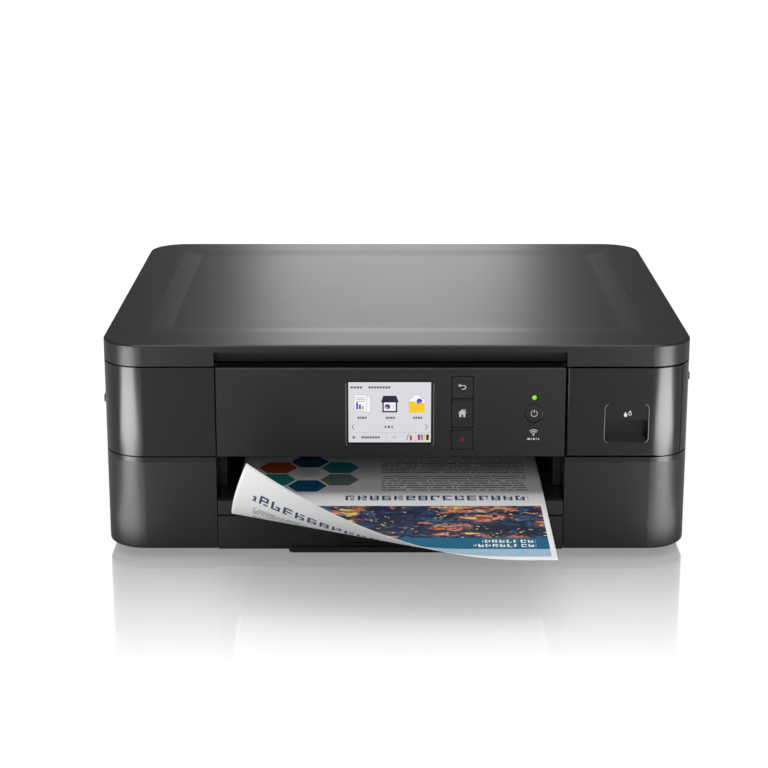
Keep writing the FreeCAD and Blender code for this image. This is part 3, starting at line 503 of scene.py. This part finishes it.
def screen_shapes():
    shapes = [(bar(LEFT, RIGHT, LOW, HIGH), SCREEN_BACK, 0)]
    shapes += word(-31.2, 121.7, (1.6, 1.6, 1.8, 1.6), 1.4)
    shapes += word(-19.2, 121.7, (1.5, 1.5, 1.5, 1.5, 1.5, 1.5, 1.5, 1.5), 1.4)
    shapes += copy_icon(-24.6, 110.6) + scan_icon(-4.8, 110.6) + folder_icon(13.4, 110.6)
    for x in (-26.6, -7.6, 11.0):
        shapes += word(x, 100.4, (1.3, 1.1, 1.4, 1.2), 1.5)
    shapes += word(-8.2, 94.0, (0.9, 1.6, 0.9), 1.6, 1.0)
    for x, way in ((-29.8, -1), (20.2, 1)):
        for lift in (1, -1):
            arrow = stroke(x - way * 0.9, 94.0 + lift * 1.8, x + way * 0.7, 94.0, 0.45)
            shapes.append((arrow, SCREEN_GREY, 1))
    shapes.append((bar(LEFT, RIGHT, 89.9, 90.1), SCREEN_LINE, 1))
    for x in (-7.2, 4.2, 12.6):
        shapes.append((bar(x, x + 0.2, LOW, 90.0), SCREEN_LINE, 1))
    shapes.append((bar(-30.4, -28.0, 86.4, 86.9), SCREEN_NAVY, 1))
    shapes.append((bar(-29.45, -28.95, 85.4, 87.9), SCREEN_NAVY, 2))
    shapes += word(-24.0, 86.6, (1.6, 1.4, 1.4, 1.2, 1.5, 1.6, 1.2), 1.4)
    for radius in (1.2, 2.1, 3.0):
        shapes.append((arc_band(-1.6, 84.8, radius - 0.4, radius, 50, 130, 8), SCREEN_LINE, 1))
    shapes.append((stroke(6.6, 84.6, 8.0, 89.2, 0.5), SCREEN_GREY, 1))
    shapes.append((bar(8.8, 10.2, 84.4, 88.0), SCREEN_RED, 1))
    colours = (SCREEN_MAGENTA, SCREEN_CYAN, SCREEN_YELLOW, SCREEN_BLACK)
    for index, colour in enumerate(colours):
        x = 14.1 + 1.95 * index
        shapes.append((bar(x, x + 1.7, 84.7, 88.6), colour, 1))
    return shapes


art_piece("screen_picture", screen_shapes(), "control_panel", 0.19)

# %% [markdown]
# ## Key symbols
# The keys carry a back arrow, a house and a red cross, and the round button carries the usual power sign.
# Each symbol rides on its own key, so it goes in when the key is pressed.

# %% Key symbols
KEY_X = 44.2
BACK_Z, HOME_Z, STOP_Z = 121.9, 103.6, 85.0
hook = [(arc_band(KEY_X + 0.7, BACK_Z - 0.1, 1.0, 1.6, -90, 90), INK_WHITE, 0),
        (bar(KEY_X - 1.6, KEY_X + 0.75, BACK_Z + 0.9, BACK_Z + 1.5), INK_WHITE, 0),
        (bar(KEY_X - 0.6, KEY_X + 0.75, BACK_Z - 1.7, BACK_Z - 1.1), INK_WHITE, 0),
        ([(KEY_X - 3.0, BACK_Z + 1.2), (KEY_X - 1.3, BACK_Z - 0.1), (KEY_X - 1.3, BACK_Z + 2.5)],
         INK_WHITE, 0)]
art_piece("back_symbol", hook, "back_button", 0.0)
house = [([(KEY_X - 2.9, HOME_Z + 0.2), (KEY_X + 2.9, HOME_Z + 0.2), (KEY_X, HOME_Z + 3.0)], INK_WHITE, 0),
         (bar(KEY_X - 2.1, KEY_X - 0.6, HOME_Z - 2.6, HOME_Z + 0.2), INK_WHITE, 0),
         (bar(KEY_X + 0.6, KEY_X + 2.1, HOME_Z - 2.6, HOME_Z + 0.2), INK_WHITE, 0),
         (bar(KEY_X - 0.6, KEY_X + 0.6, HOME_Z - 0.9, HOME_Z + 0.2), INK_WHITE, 0),
         (bar(KEY_X + 1.3, KEY_X + 2.1, HOME_Z + 1.0, HOME_Z + 2.7), INK_WHITE, 0)]
art_piece("home_symbol", house, "home_button", 0.0)
cross = [(stroke(KEY_X - 1.35, STOP_Z - 1.35, KEY_X + 1.35, STOP_Z + 1.35, 0.55), INK_RED, 0),
         (stroke(KEY_X - 1.35, STOP_Z + 1.35, KEY_X + 1.35, STOP_Z - 1.35, 0.55), INK_RED, 1)]
art_piece("stop_symbol", cross, "stop_button", 0.0)

# %% [markdown]
# ## Power, wireless and ink symbols
# These are printed the same way. The power sign goes in with its button, the wireless sign stays on the
# panel over a row of blocks, and two ink drops, one full and one an outline, sit in the ink door's pocket.

# %% Power, wireless and ink symbols
POWER_X, POWER_Z = 92.7, 103.5
power = [(arc_band(POWER_X, POWER_Z, 1.9, 2.3, 118, 422, 30), INK_WHITE, 0),
         (bar(POWER_X - 0.22, POWER_X + 0.22, POWER_Z + 0.3, POWER_Z + 2.5), INK_WHITE, 0)]
art_piece("power_symbol", power, "power_switch", 0.0)
waves = [(arc_band(92.5, 88.2, radius - 0.5, radius, 45, 135), INK_WHITE, 0) for radius in (1.7, 2.9, 4.1)]
waves.append((disc(92.5, 88.3, 0.55, 16), INK_WHITE, 0))
blocks = ((88.4, 2.0), (91.1, 0.4), (92.2, 1.5), (94.5, 0.4), (95.6, 0.8))
waves += [(bar(x, x + width, 84.9, 86.2), INK_WHITE, 0) for x, width in blocks]
art_piece("wireless_symbol", waves, "control_panel", 0.0)
drops = [(drop(154.6, 101.9, 1.15), INK_WHITE, 0)]
outline_drop = drop(157.6, 102.9, 1.15)
inner_drop = drop(157.6, 102.9, 0.7)
for index in range(len(outline_drop)):
    following = (index + 1) % len(outline_drop)
    drops.append(([outline_drop[index], outline_drop[following], inner_drop[following], inner_drop[index]],
                  INK_WHITE, 0))
art_piece("ink_symbol", drops, "ink_cover", 1.2)

# %% [markdown]
# ## Painted highlights round the screen and the finger recess
# The real panel has a narrow bevel round the screen and round the ink door's pocket, which catches the
# light. A bevel could be cut in the shell, but the shell's shape is fixed here, so a thin raised line of
# light grey paint stands for the light on it: a painted highlight.

# %% Painted highlight lines


def rim_highlight_shapes(x0, x1, z0, z1, radius, width, top):
    """Painted highlight lines: two upright lines joined to rounded corners; top says whether the upper
    corners are there too.
    """
    shapes = [(bar(x0, x0 + width, z0 + radius, z1 - radius), RIM_HIGHLIGHT, 0),
              (bar(x1 - width, x1, z0 + radius, z1 - radius), RIM_HIGHLIGHT, 0)]
    corners = [(x0 + radius, z0 + radius, 180), (x1 - radius, z0 + radius, 290)]
    if top:
        corners += [(x0 + radius, z1 - radius, 110), (x1 - radius, z1 - radius, 0)]
    for x, z, start in corners:
        shapes.append((arc_band(x, z, radius - width, radius, start, start + 70, 8), RIM_HIGHLIGHT, 0))
    return shapes


RIM_WIDTH = 0.26
# painted highlights: light grey lines where the bevels round the screen and the pocket catch the light
screen_highlight_lines = rim_highlight_shapes(-34.5, 25.0, 80.9, 126.6, 1.9, RIM_WIDTH, False)
art_piece("screen_rim_highlight", screen_highlight_lines, "control_panel", 0.0)
pocket_highlight_lines = rim_highlight_shapes(140.4, 170.5, 82.6, 110.2, 3.6, RIM_WIDTH, True)
art_piece("recess_rim_highlight", pocket_highlight_lines, "ink_cover", 0.0)

# %% [markdown]
# ## The curled page
# Paper bends only one way at a time. A corner that curls up wraps round a very slender cone: every point
# keeps its distance from the cone's tip, measured along the paper, so the sheet isn't stretched anywhere.
# The part in front of the fold line is wrapped, the rest lies flat, and Solidify gives it thickness.

# %% Page shape
PAGE_W, PAGE_L = 210.0, 297.0
PAGE_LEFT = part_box("printed_sheet")[0].x / MM
PAGE_FRONT = -116.0
FOLD_LEFT = Vector((PAGE_LEFT, -19.7, 0))
FOLD_FRONT = Vector((80.7, PAGE_FRONT, 0))
CONE_TIP_AWAY = 1733.0
CONE_ANGLE = 0.029
REST_HEIGHTS = ((-116.0, 41.6), (85.0, 46.2), (140.0, 45.05), (181.0, 43.65))


def rest_height(depth):
    """Height of the lying page above the table: it climbs the cover's slope, then dips under the rollers."""
    points = REST_HEIGHTS
    if depth <= points[0][0]:
        return points[0][1]
    for (d0, z0), (d1, z1) in zip(points, points[1:]):
        if depth <= d1:
            share = (depth - d0) / (d1 - d0)
            return z0 + (z1 - z0) * share
    return points[-1][1]


def page_point(across, along):
    """Where a point of the page lies; both lengths are in millimetres from its leading left corner."""
    spot = Vector((PAGE_LEFT + across, PAGE_FRONT + along, 0))
    ruling = (FOLD_LEFT - FOLD_FRONT).normalized()
    inward = Vector((ruling.y, -ruling.x, 0))
    tip = FOLD_FRONT - ruling * CONE_TIP_AWAY
    reach = spot - tip
    turn = -math.atan2(reach.dot(inward), reach.dot(ruling))
    if turn > 0:
        axis = ruling * math.cos(CONE_ANGLE) + Vector((0, 0, math.sin(CONE_ANGLE)))
        start = ruling - axis * math.cos(CONE_ANGLE)
        side = axis.cross(start)
        if side.dot(inward) > 0:
            side = -side
        wrap = turn / math.sin(CONE_ANGLE)
        bent = axis * math.cos(CONE_ANGLE) + start * math.cos(wrap) + side * math.sin(wrap)
        spot = tip + bent * reach.length
    return Vector((spot.x * MM, FRONT + spot.y * MM, (spot.z + rest_height(spot.y)) * MM))


def page_mesh(columns=84, rows=118):
    mesh = bpy.data.meshes.new("printed_page")
    build = bmesh.new()
    uv = build.loops.layers.uv.new("page")
    grid = []
    for row in range(rows + 1):
        along = PAGE_L * row / rows
        grid.append([build.verts.new(page_point(PAGE_W * c / columns, along)) for c in range(columns + 1)])
    for row in range(rows):
        for column in range(columns):
            corners = ((row, column), (row, column + 1), (row + 1, column + 1), (row + 1, column))
            face = build.faces.new([grid[r][c] for r, c in corners])
            face.smooth = True
            for loop, (r, c) in zip(face.loops, corners):
                loop[uv].uv = (c / columns, r / rows)
    build.to_mesh(mesh)
    build.free()
    print("page", len(mesh.polygons), "faces before it gets its thickness")
    return mesh


# %% [markdown]
# ## The print on the page
# The page is printed with a band of colour, a picture, lines of text and a ring of hexagons. No words are
# drawn: rows of small blocks stand for them. Each area is a mask on the page's own UV map, counted in
# millimetres from its leading left corner, and the layers are painted over plain white paper.

# %% Printed page material
TOWN_COLOURS = ((0.0, srgb(14, 28, 58)), (0.24, srgb(30, 62, 100)), (0.34, srgb(60, 96, 138)),
                (0.42, srgb(34, 38, 66)), (0.52, srgb(150, 112, 104)), (0.6, srgb(208, 116, 86)),
                (0.74, srgb(232, 150, 112)), (0.86, srgb(238, 206, 116)))


class Print(Finish):
    """Paper with layers of colour placed in page millimetres."""

    def __init__(self, name, paper):
        super().__init__(name)
        place = self.add("UVMap", uv_map="page").outputs[0]
        parts = self.add("SeparateXYZ", place)
        self.x = self.math("MULTIPLY", parts.outputs["X"], PAGE_W)
        self.y = self.math("MULTIPLY", parts.outputs["Y"], PAGE_L)
        self.flat = self.add("CombineXYZ", self.x, self.y, 0.0).outputs[0]
        fibres = self.noise(self.flat, 1.6, 4.0)
        self.colour = self.mix(fibres, srgb(paper - 5, paper - 5, paper - 5), srgb(paper, paper, paper))
        self.plug(self.spread(fibres, 0.55, 0.7), "Roughness")
        self.bump(fibres, 0.00002)

    def inside(self, x0, x1, y0, y1):
        mask = self.math("GREATER_THAN", self.x, x0)
        tests = (("LESS_THAN", self.x, x1), ("GREATER_THAN", self.y, y0), ("LESS_THAN", self.y, y1))
        for operation, value, edge in tests:
            mask = self.math("MULTIPLY", mask, self.math(operation, value, edge))
        return mask

    def paint(self, mask, colour):
        self.colour = self.mix(mask, self.colour, colour)

    def text(self, x0, x1, y0, y1, pitch, share, block, colour):
        """Rows of broken dashes: share is how much of the pitch is inked, block how long a word is."""
        row = self.math("DIVIDE", self.y, pitch)
        ink = self.math("LESS_THAN", self.math("FRACT", row), share)
        line = self.math("FLOOR", row)
        along = self.math("DIVIDE", self.x, block)
        spot = self.add("CombineXYZ", along, self.math("MULTIPLY", line, 7.3), 0.0)
        words = self.math("GREATER_THAN", self.noise(spot.outputs[0], 1.0, 0.0), 0.38)
        mask = self.math("MULTIPLY", ink, words)
        self.paint(self.math("MULTIPLY", mask, self.inside(x0, x1, y0, y1)), colour)

    def heading(self, x0, x1, y0, y1, colour):
        """A row of made-up block letters: each has one full stem and a few random bars beside it."""
        size = (y1 - y0) * 0.92
        cell = self.math("DIVIDE", self.x, size)
        inner = self.math("FRACT", cell)
        stem = self.math("LESS_THAN", inner, 0.2)
        column = self.math("FLOOR", self.math("MULTIPLY", inner, 2.7))
        row = self.math("FLOOR", self.math("DIVIDE", self.math("SUBTRACT", self.y, y0), (y1 - y0) / 5))
        letter = self.math("MULTIPLY", self.math("FLOOR", cell), 9.0)
        key = self.add("CombineXYZ", self.math("ADD", letter, column), row, 0.0)
        dice = self.add("TexWhiteNoise", key.outputs[0]).outputs[0]
        even = self.math("LESS_THAN", self.math("FRACT", self.math("MULTIPLY", row, 0.5)), 0.25)
        bars = self.math("MULTIPLY", self.math("GREATER_THAN", dice, 0.22), even)
        right_half = self.math("GREATER_THAN", inner, 0.56)
        right = self.math("MULTIPLY", right_half, self.math("GREATER_THAN", dice, 0.45))
        bars = self.math("MULTIPLY", self.math("MAXIMUM", bars, right), self.math("LESS_THAN", inner, 0.74))
        mask = self.math("MAXIMUM", stem, bars)
        self.paint(self.math("MULTIPLY", mask, self.inside(x0, x1, y0, y1)), colour)

    def hexagon(self, x, y, radius, colour):
        dx = self.math("ABSOLUTE", self.math("SUBTRACT", self.x, x))
        dy = self.math("ABSOLUTE", self.math("SUBTRACT", self.y, y))
        slope = self.math("ADD", self.math("MULTIPLY", dx, 0.866), self.math("MULTIPLY", dy, 0.5))
        mask = self.math("LESS_THAN", self.math("MAXIMUM", slope, dy), radius * 0.866)
        self.paint(mask, colour)

    def picture(self, x0, x1, y0, y1):
        """An abstract town from above at dusk: square cells as roofs, some of them lit."""
        drift = self.add("TexNoise")
        self.tree.links.new(self.flat, drift.inputs["Vector"])
        drift.inputs["Scale"].default_value = 0.09
        drifted = self.scaled(drift.outputs["Color"], 14.0)
        warped = self.add("VectorMath", self.flat, drifted, operation="ADD").outputs[0]
        cells = self.cells(self.stretched(warped, 0.1, 0.26))
        cells.inputs["Randomness"].default_value = 0.8
        tone, glint, _ = self.add("SeparateColor", cells.outputs["Color"]).outputs
        warm = self.noise(self.stretched(warped, 0.022, 0.045), 1.0, 1.0)
        warmth = self.spread(warm, -0.22, 0.44, 0.34, 0.66)
        town = self.ramp(self.math("ADD", self.math("MULTIPLY", tone, 0.62), warmth), TOWN_COLOURS)
        small = self.cells(self.stretched(self.flat, 0.5, 1.1))
        spark = self.add("SeparateColor", small.outputs["Color"]).outputs[1]
        wall = self.math("MULTIPLY", self.math("LESS_THAN", spark, 0.24), 0.6)
        town = self.mix(wall, town, srgb(16, 24, 46))
        eaves = self.math("GREATER_THAN", cells.outputs["Distance"], 0.46)
        town = self.mix(self.math("MULTIPLY", eaves, 0.7), town, srgb(22, 26, 44))
        rare = self.math("GREATER_THAN", spark, 0.94)
        lamp = self.math("MULTIPLY", rare, self.math("GREATER_THAN", glint, 0.6))
        town = self.mix(lamp, town, srgb(244, 214, 150))
        self.paint(self.inside(x0, x1, y0, y1), town)

    def stretched(self, place, across, along):
        return self.add("Mapping", place, None, None, (across, along, 1.0)).outputs[0]

    def cells(self, place):
        """Square-cornered cells about one unit apart."""
        node = self.add("TexVoronoi", place, distance="CHEBYCHEV")
        node.inputs["Scale"].default_value = 1.0
        return node

    def scaled(self, colour, size):
        centred = self.add("VectorMath", colour, (0.5, 0.5, 0.5), operation="SUBTRACT").outputs[0]
        return self.add("VectorMath", centred, (size, size, 0.0), operation="MULTIPLY").outputs[0]

    def ramp(self, value, stops):
        """Hard steps of colour."""
        steps = self.add("ValToRGB", value)
        steps.color_ramp.interpolation = "CONSTANT"
        while len(steps.color_ramp.elements) < len(stops):
            steps.color_ramp.elements.new(1.0)
        for element, (at, colour) in zip(steps.color_ramp.elements, stops):
            element.position = at
            element.color = colour
        return steps.outputs[0]

    def finish(self):
        self.plug(self.colour, "Base Color")
        return self.material


# %% [markdown]
# ## The two sides of the page
# The top has the bands, the picture, the text and the ring of hexagons; the underside, which shows where
# the corner curls over, has a heading and finer text on paper painted darker than the top as painted shade.
# Solidify gives each side its own material.

# %% The two sides of the page
NAVY, TEAL, PALE_BLUE = srgb(38, 58, 98), srgb(0, 96, 130), srgb(160, 192, 212)
GREY, DARK_GREY = srgb(126, 126, 128), srgb(96, 96, 100)
HEADING_WHITE = srgb(240, 244, 246)
RING_X, RING_Y, RING_RADIUS = 47.5, 163.5, 25.6
RING_COLOURS = (srgb(0, 92, 128), srgb(40, 150, 148), srgb(112, 132, 130),
                srgb(0, 92, 128), srgb(30, 148, 140), srgb(196, 88, 44))


def printed_top():
    sheet = Print("page_print", 246)
    sheet.paint(sheet.inside(3.5, 206.5, 6.0, 19.0), PALE_BLUE)
    sheet.paint(sheet.inside(3.5, 206.5, 19.0, 38.5), TEAL)
    sheet.heading(158, 198, 22.5, 27.5, HEADING_WHITE)
    sheet.heading(164, 198, 30.0, 35.0, HEADING_WHITE)
    sheet.picture(3.5, 206.5, 38.5, 98.0)
    sheet.heading(74, 199, 109.0, 118.0, NAVY)
    sheet.text(99, 200, 126.0, 158.0, 4.6, 0.42, 2.2, GREY)
    sheet.text(99, 200, 164.0, 190.0, 4.6, 0.42, 2.2, GREY)
    for index, colour in enumerate(RING_COLOURS):
        angle = math.radians(90 - 60 * index)
        x, y = RING_X + RING_RADIUS * math.cos(angle), RING_Y + RING_RADIUS * math.sin(angle)
        sheet.hexagon(x, y, 13.6, colour)
    sheet.hexagon(RING_X, RING_Y, 8.5, srgb(222, 224, 224))
    return sheet.finish()


def printed_underside():
    # painted shade: the underside's paper is set to 216 against the top's 246, the same paper darkened for
    # the shade under the curl
    sheet = Print("page_underside_shaded", 216)
    sheet.heading(12, 150, 17.0, 26.0, NAVY)
    sheet.text(14, 190, 33.0, 46.0, 2.9, 0.44, 2.0, DARK_GREY)
    sheet.text(14, 190, 50.0, 66.0, 2.9, 0.44, 2.0, DARK_GREY)
    return sheet.finish()


page = bpy.data.objects.new("printed_page", page_mesh())
bpy.context.scene.collection.objects.link(page)
page.data.materials.append(printed_top())
page.data.materials.append(printed_underside())
thickness = page.modifiers.new("paper_thickness", "SOLIDIFY")
thickness.thickness = 0.12 * MM
thickness.offset = -1
thickness.material_offset = 1
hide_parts("printed_sheet")
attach(page, "sheet")
print("page", PAGE_W, "by", PAGE_L, "mm,", round(thickness.thickness / MM, 2), "mm thick")

# %% [markdown]
# ## Parts that repeat
# Belt teeth and vent slats are one small block, many times. Copies could be placed one by one in a loop;
# a Geometry Nodes tree with named inputs does it once for both. It lays blocks along a line, and the
# result is turned into a plain mesh.

# %% A row of blocks in Geometry Nodes


def row_tree():
    tree = bpy.data.node_groups.new("row_of_blocks", "GeometryNodeTree")
    tree.interface.new_socket("Geometry", in_out="OUTPUT", socket_type="NodeSocketGeometry")
    inputs = {"Count": "Int", "Start": "Vector", "Step": "Vector", "Size": "Vector", "Turn": "Vector",
              "Material": "Material"}
    for name, kind in inputs.items():
        tree.interface.new_socket(name, in_out="INPUT", socket_type="NodeSocket" + kind)
    source = tree.nodes.new("NodeGroupInput").outputs
    line = tree.nodes.new("GeometryNodeMeshLine")
    block = tree.nodes.new("GeometryNodeMeshCube")
    spread = tree.nodes.new("GeometryNodeInstanceOnPoints")
    turn = tree.nodes.new("FunctionNodeEulerToRotation")
    realize = tree.nodes.new("GeometryNodeRealizeInstances")
    paint = tree.nodes.new("GeometryNodeSetMaterial")
    result = tree.nodes.new("NodeGroupOutput")
    links = ((source["Count"], line.inputs["Count"]), (source["Start"], line.inputs["Start Location"]),
             (source["Step"], line.inputs["Offset"]), (source["Size"], block.inputs["Size"]),
             (line.outputs[0], spread.inputs["Points"]), (block.outputs[0], spread.inputs["Instance"]),
             (source["Turn"], turn.inputs[0]), (turn.outputs[0], spread.inputs["Rotation"]),
             (spread.outputs[0], realize.inputs[0]), (realize.outputs[0], paint.inputs["Geometry"]),
             (source["Material"], paint.inputs["Material"]), (paint.outputs[0], result.inputs[0]))
    for out, into in links:
        tree.links.new(out, into)
    return tree


ROW = row_tree()


def row_of_blocks(name, count, start, step, size, material, body, turn=(0.0, 0.0, 0.0)):
    """One plain mesh of equal blocks; lengths are in millimetres."""
    holder = bpy.data.objects.new(name + "_maker", bpy.data.meshes.new(name))
    bpy.context.scene.collection.objects.link(holder)
    modifier = holder.modifiers.new("row", "NODES")
    modifier.node_group = ROW
    values = {"Count": count, "Start": [v * MM for v in start], "Step": [v * MM for v in step],
              "Size": [v * MM for v in size], "Turn": list(turn), "Material": material}
    for socket in ROW.interface.items_tree:
        if socket.in_out == "INPUT":
            modifier[socket.identifier] = values[socket.name]
    bpy.context.view_layer.update()
    evaluated = holder.evaluated_get(bpy.context.evaluated_depsgraph_get())
    mesh = bpy.data.meshes.new_from_object(evaluated)
    bpy.data.objects.remove(holder)
    piece = bpy.data.objects.new(name, mesh)
    bpy.context.scene.collection.objects.link(piece)
    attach(piece, body)
    print(name, len(mesh.polygons), "faces")
    return piece


# %% [markdown]
# ## Belt teeth and rear vents
# The carriage belt has a tooth every 2 mm on the side that meets its pulleys. Behind the case, a field of
# upright slats lets the power supply breathe. Both follow their part's own box, so they stay in place.

# %% Belt teeth and rear vents
belt_low, belt_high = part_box("drive_belt")
BELT_SPAN = (belt_high.x - belt_low.x) / MM - 20
TOOTH_PITCH = 2
belt_start = (belt_low.x / MM + 10, belt_low.y / MM + 1.1, (belt_low.z + belt_high.z) / 2 / MM)
row_of_blocks("belt_teeth", int(BELT_SPAN / TOOTH_PITCH), belt_start, (TOOTH_PITCH, 0, 0),
              (0.9, 0.5, 5.0), BELT, "base")
REAR = case_high.y / MM
row_of_blocks("rear_vent_slats", 14, (128, REAR, 26), (3.6, 0, 0), (1.5, 0.9, 22), SHELL,
              "base")

# %% [markdown]
# ## Studio lamps
# A soft box behind the machine draws the pale sheen on the lid, a wide one in front lights the paper and
# one above fills the rest. Two panels lie on the table in front of each front corner, and their mirror
# images are the bright lines down the rounded corners. The camera doesn't see any of the lamps.

# %% Studio lamps


def soft_box(name, place, target, width, height, watts):
    light = bpy.data.lights.new(name, "AREA")
    light.shape = "RECTANGLE"
    light.size = width
    light.size_y = height
    light.energy = watts
    lamp = bpy.data.objects.new(name, light)
    lamp.location = place
    lamp.rotation_euler = (Vector(target) - Vector(place)).to_track_quat("-Z", "Y").to_euler()
    lamp.visible_camera = False
    bpy.context.scene.collection.objects.link(lamp)
    return lamp


soft_box("lid_sheen", (0.004, 1.75, 0.56), (0, 0, 0.15), 0.44, 0.8, 1.12)
soft_box("front_fill", (0.0, -2.0, 1.0), (0, -0.1, 0.06), 1.6, 1.0, 10)
soft_box("top_fill", (0.0, -0.1, 2.2), (0, 0, 0), 1.8, 1.8, 26)
for side, word_side in ((-1, "left"), (1, "right")):
    for away, long, wide, watts in ((0.42, 0.36, 0.30, 4.9), (0.14, 0.2, 0.11, 0.38)):
        x, y = side * (0.19 + away * 0.707), -0.16 - away * 0.707
        name = "corner_glow_%s_%d" % (word_side, away * 100)
        panel = soft_box(name, (x, y, 0.002), (x, y, 1.0), wide, long, watts)
        panel.rotation_euler = (math.pi, 0, math.atan2(-side, -1))
print("lamps", len(bpy.data.lights))

# %% [markdown]
# ## Floor and background
# The machine stands on white that mirrors it and runs into a white background. White paint under these
# lamps would be grey, and brighter lamps would wash out the black plastic. So a Light Path node lets the
# floor emit white to the camera only. The world is bright for the camera and for rays that have passed a
# clear film over the floor, which makes the mirrored background white too, and dim for everything else.
# The mirror fades with distance from the machine. None of this belongs to the machine itself.

# %% Floor


def flat_plane(name, height):
    mesh = bpy.data.meshes.new(name)
    mesh.from_pydata([(-6, -6, height), (6, -6, height), (6, 6, height), (-6, 6, height)], [], [(0, 1, 2, 3)])
    plane = bpy.data.objects.new(name, mesh)
    bpy.context.scene.collection.objects.link(plane)
    return plane


MIRROR_REACH = 0.213
floor = flat_plane("floor", 0.0)
polish = Finish("floor_polish")
speck = polish.noise(polish.place(), 3.0, 2.0)
seen = polish.add("LightPath").outputs["Is Camera Ray"]
pale = polish.mix(speck, srgb(150, 150, 150), srgb(154, 154, 154))
polish.plug(polish.mix(seen, srgb(150, 150, 150), pale), "Base Color")
polish.plug(polish.spread(speck, 0.05, 0.08), "Roughness")
polish.set(Emission_Color=(1.0, 1.0, 1.0, 1.0), Specular_IOR_Level=0.0)
mirror = polish.add("BsdfGlossy", (1.0, 1.0, 1.0, 1.0), 0.05)
across, back = polish.add("SeparateXYZ", polish.place()).outputs[:2]
beside = polish.math("SUBTRACT", polish.math("ABSOLUTE", across), case_high.x)
beyond = polish.math("SUBTRACT", polish.math("ABSOLUTE", back), case_high.y)
distance = polish.math("MAXIMUM", beside, beyond)
fade = polish.spread(distance, 0.56, 0.0, 0.003, MIRROR_REACH)
polish.plug(polish.math("MULTIPLY", seen, polish.spread(distance, 0.62, 1.0, 0.8, 2.5)), "Emission Strength")
mirrored = polish.math("MULTIPLY", fade, seen)
both = polish.add("MixShader", mirrored, polish.shader.outputs[0], mirror.outputs[0])
polish.tree.links.new(both.outputs[0], polish.tree.nodes["Material Output"].inputs["Surface"])
floor.data.materials.append(polish.material)

# %% Clear film and background
FILM_HEIGHT = 0.2 * MM
film = flat_plane("clear_film", FILM_HEIGHT)
clear = Finish("clear_film")
tint = clear.mix(clear.noise(clear.place(), 2.0), (1.0, 1.0, 1.0, 1.0), (0.999, 0.999, 0.999, 1.0))
through = clear.add("BsdfTransparent", tint)
clear.tree.links.new(through.outputs[0], clear.tree.nodes["Material Output"].inputs["Surface"])
film.data.materials.append(clear.material)

WORLD_AS_LIGHT, WORLD_AS_SEEN = 0.13, 1.05
world = bpy.data.worlds.new("studio")
world.use_nodes = True
bpy.context.scene.world = world
sky = world.node_tree
path = sky.nodes.new("ShaderNodeLightPath")
bright = sky.nodes.new("ShaderNodeMath")
bright.operation = "MAXIMUM"
strength = sky.nodes.new("ShaderNodeMapRange")
strength.inputs["To Min"].default_value = WORLD_AS_LIGHT
strength.inputs["To Max"].default_value = WORLD_AS_SEEN
sky.links.new(path.outputs["Is Camera Ray"], bright.inputs[0])
sky.links.new(path.outputs["Transparent Depth"], bright.inputs[1])
sky.links.new(bright.outputs[0], strength.inputs["Value"])
background = sky.nodes["Background"]
background.inputs["Color"].default_value = (1, 1, 1, 1)
sky.links.new(strength.outputs[0], background.inputs["Strength"])
bpy.context.scene.view_settings.view_transform = "Standard"
print("world", WORLD_AS_LIGHT, "as light,", WORLD_AS_SEEN, "as seen")
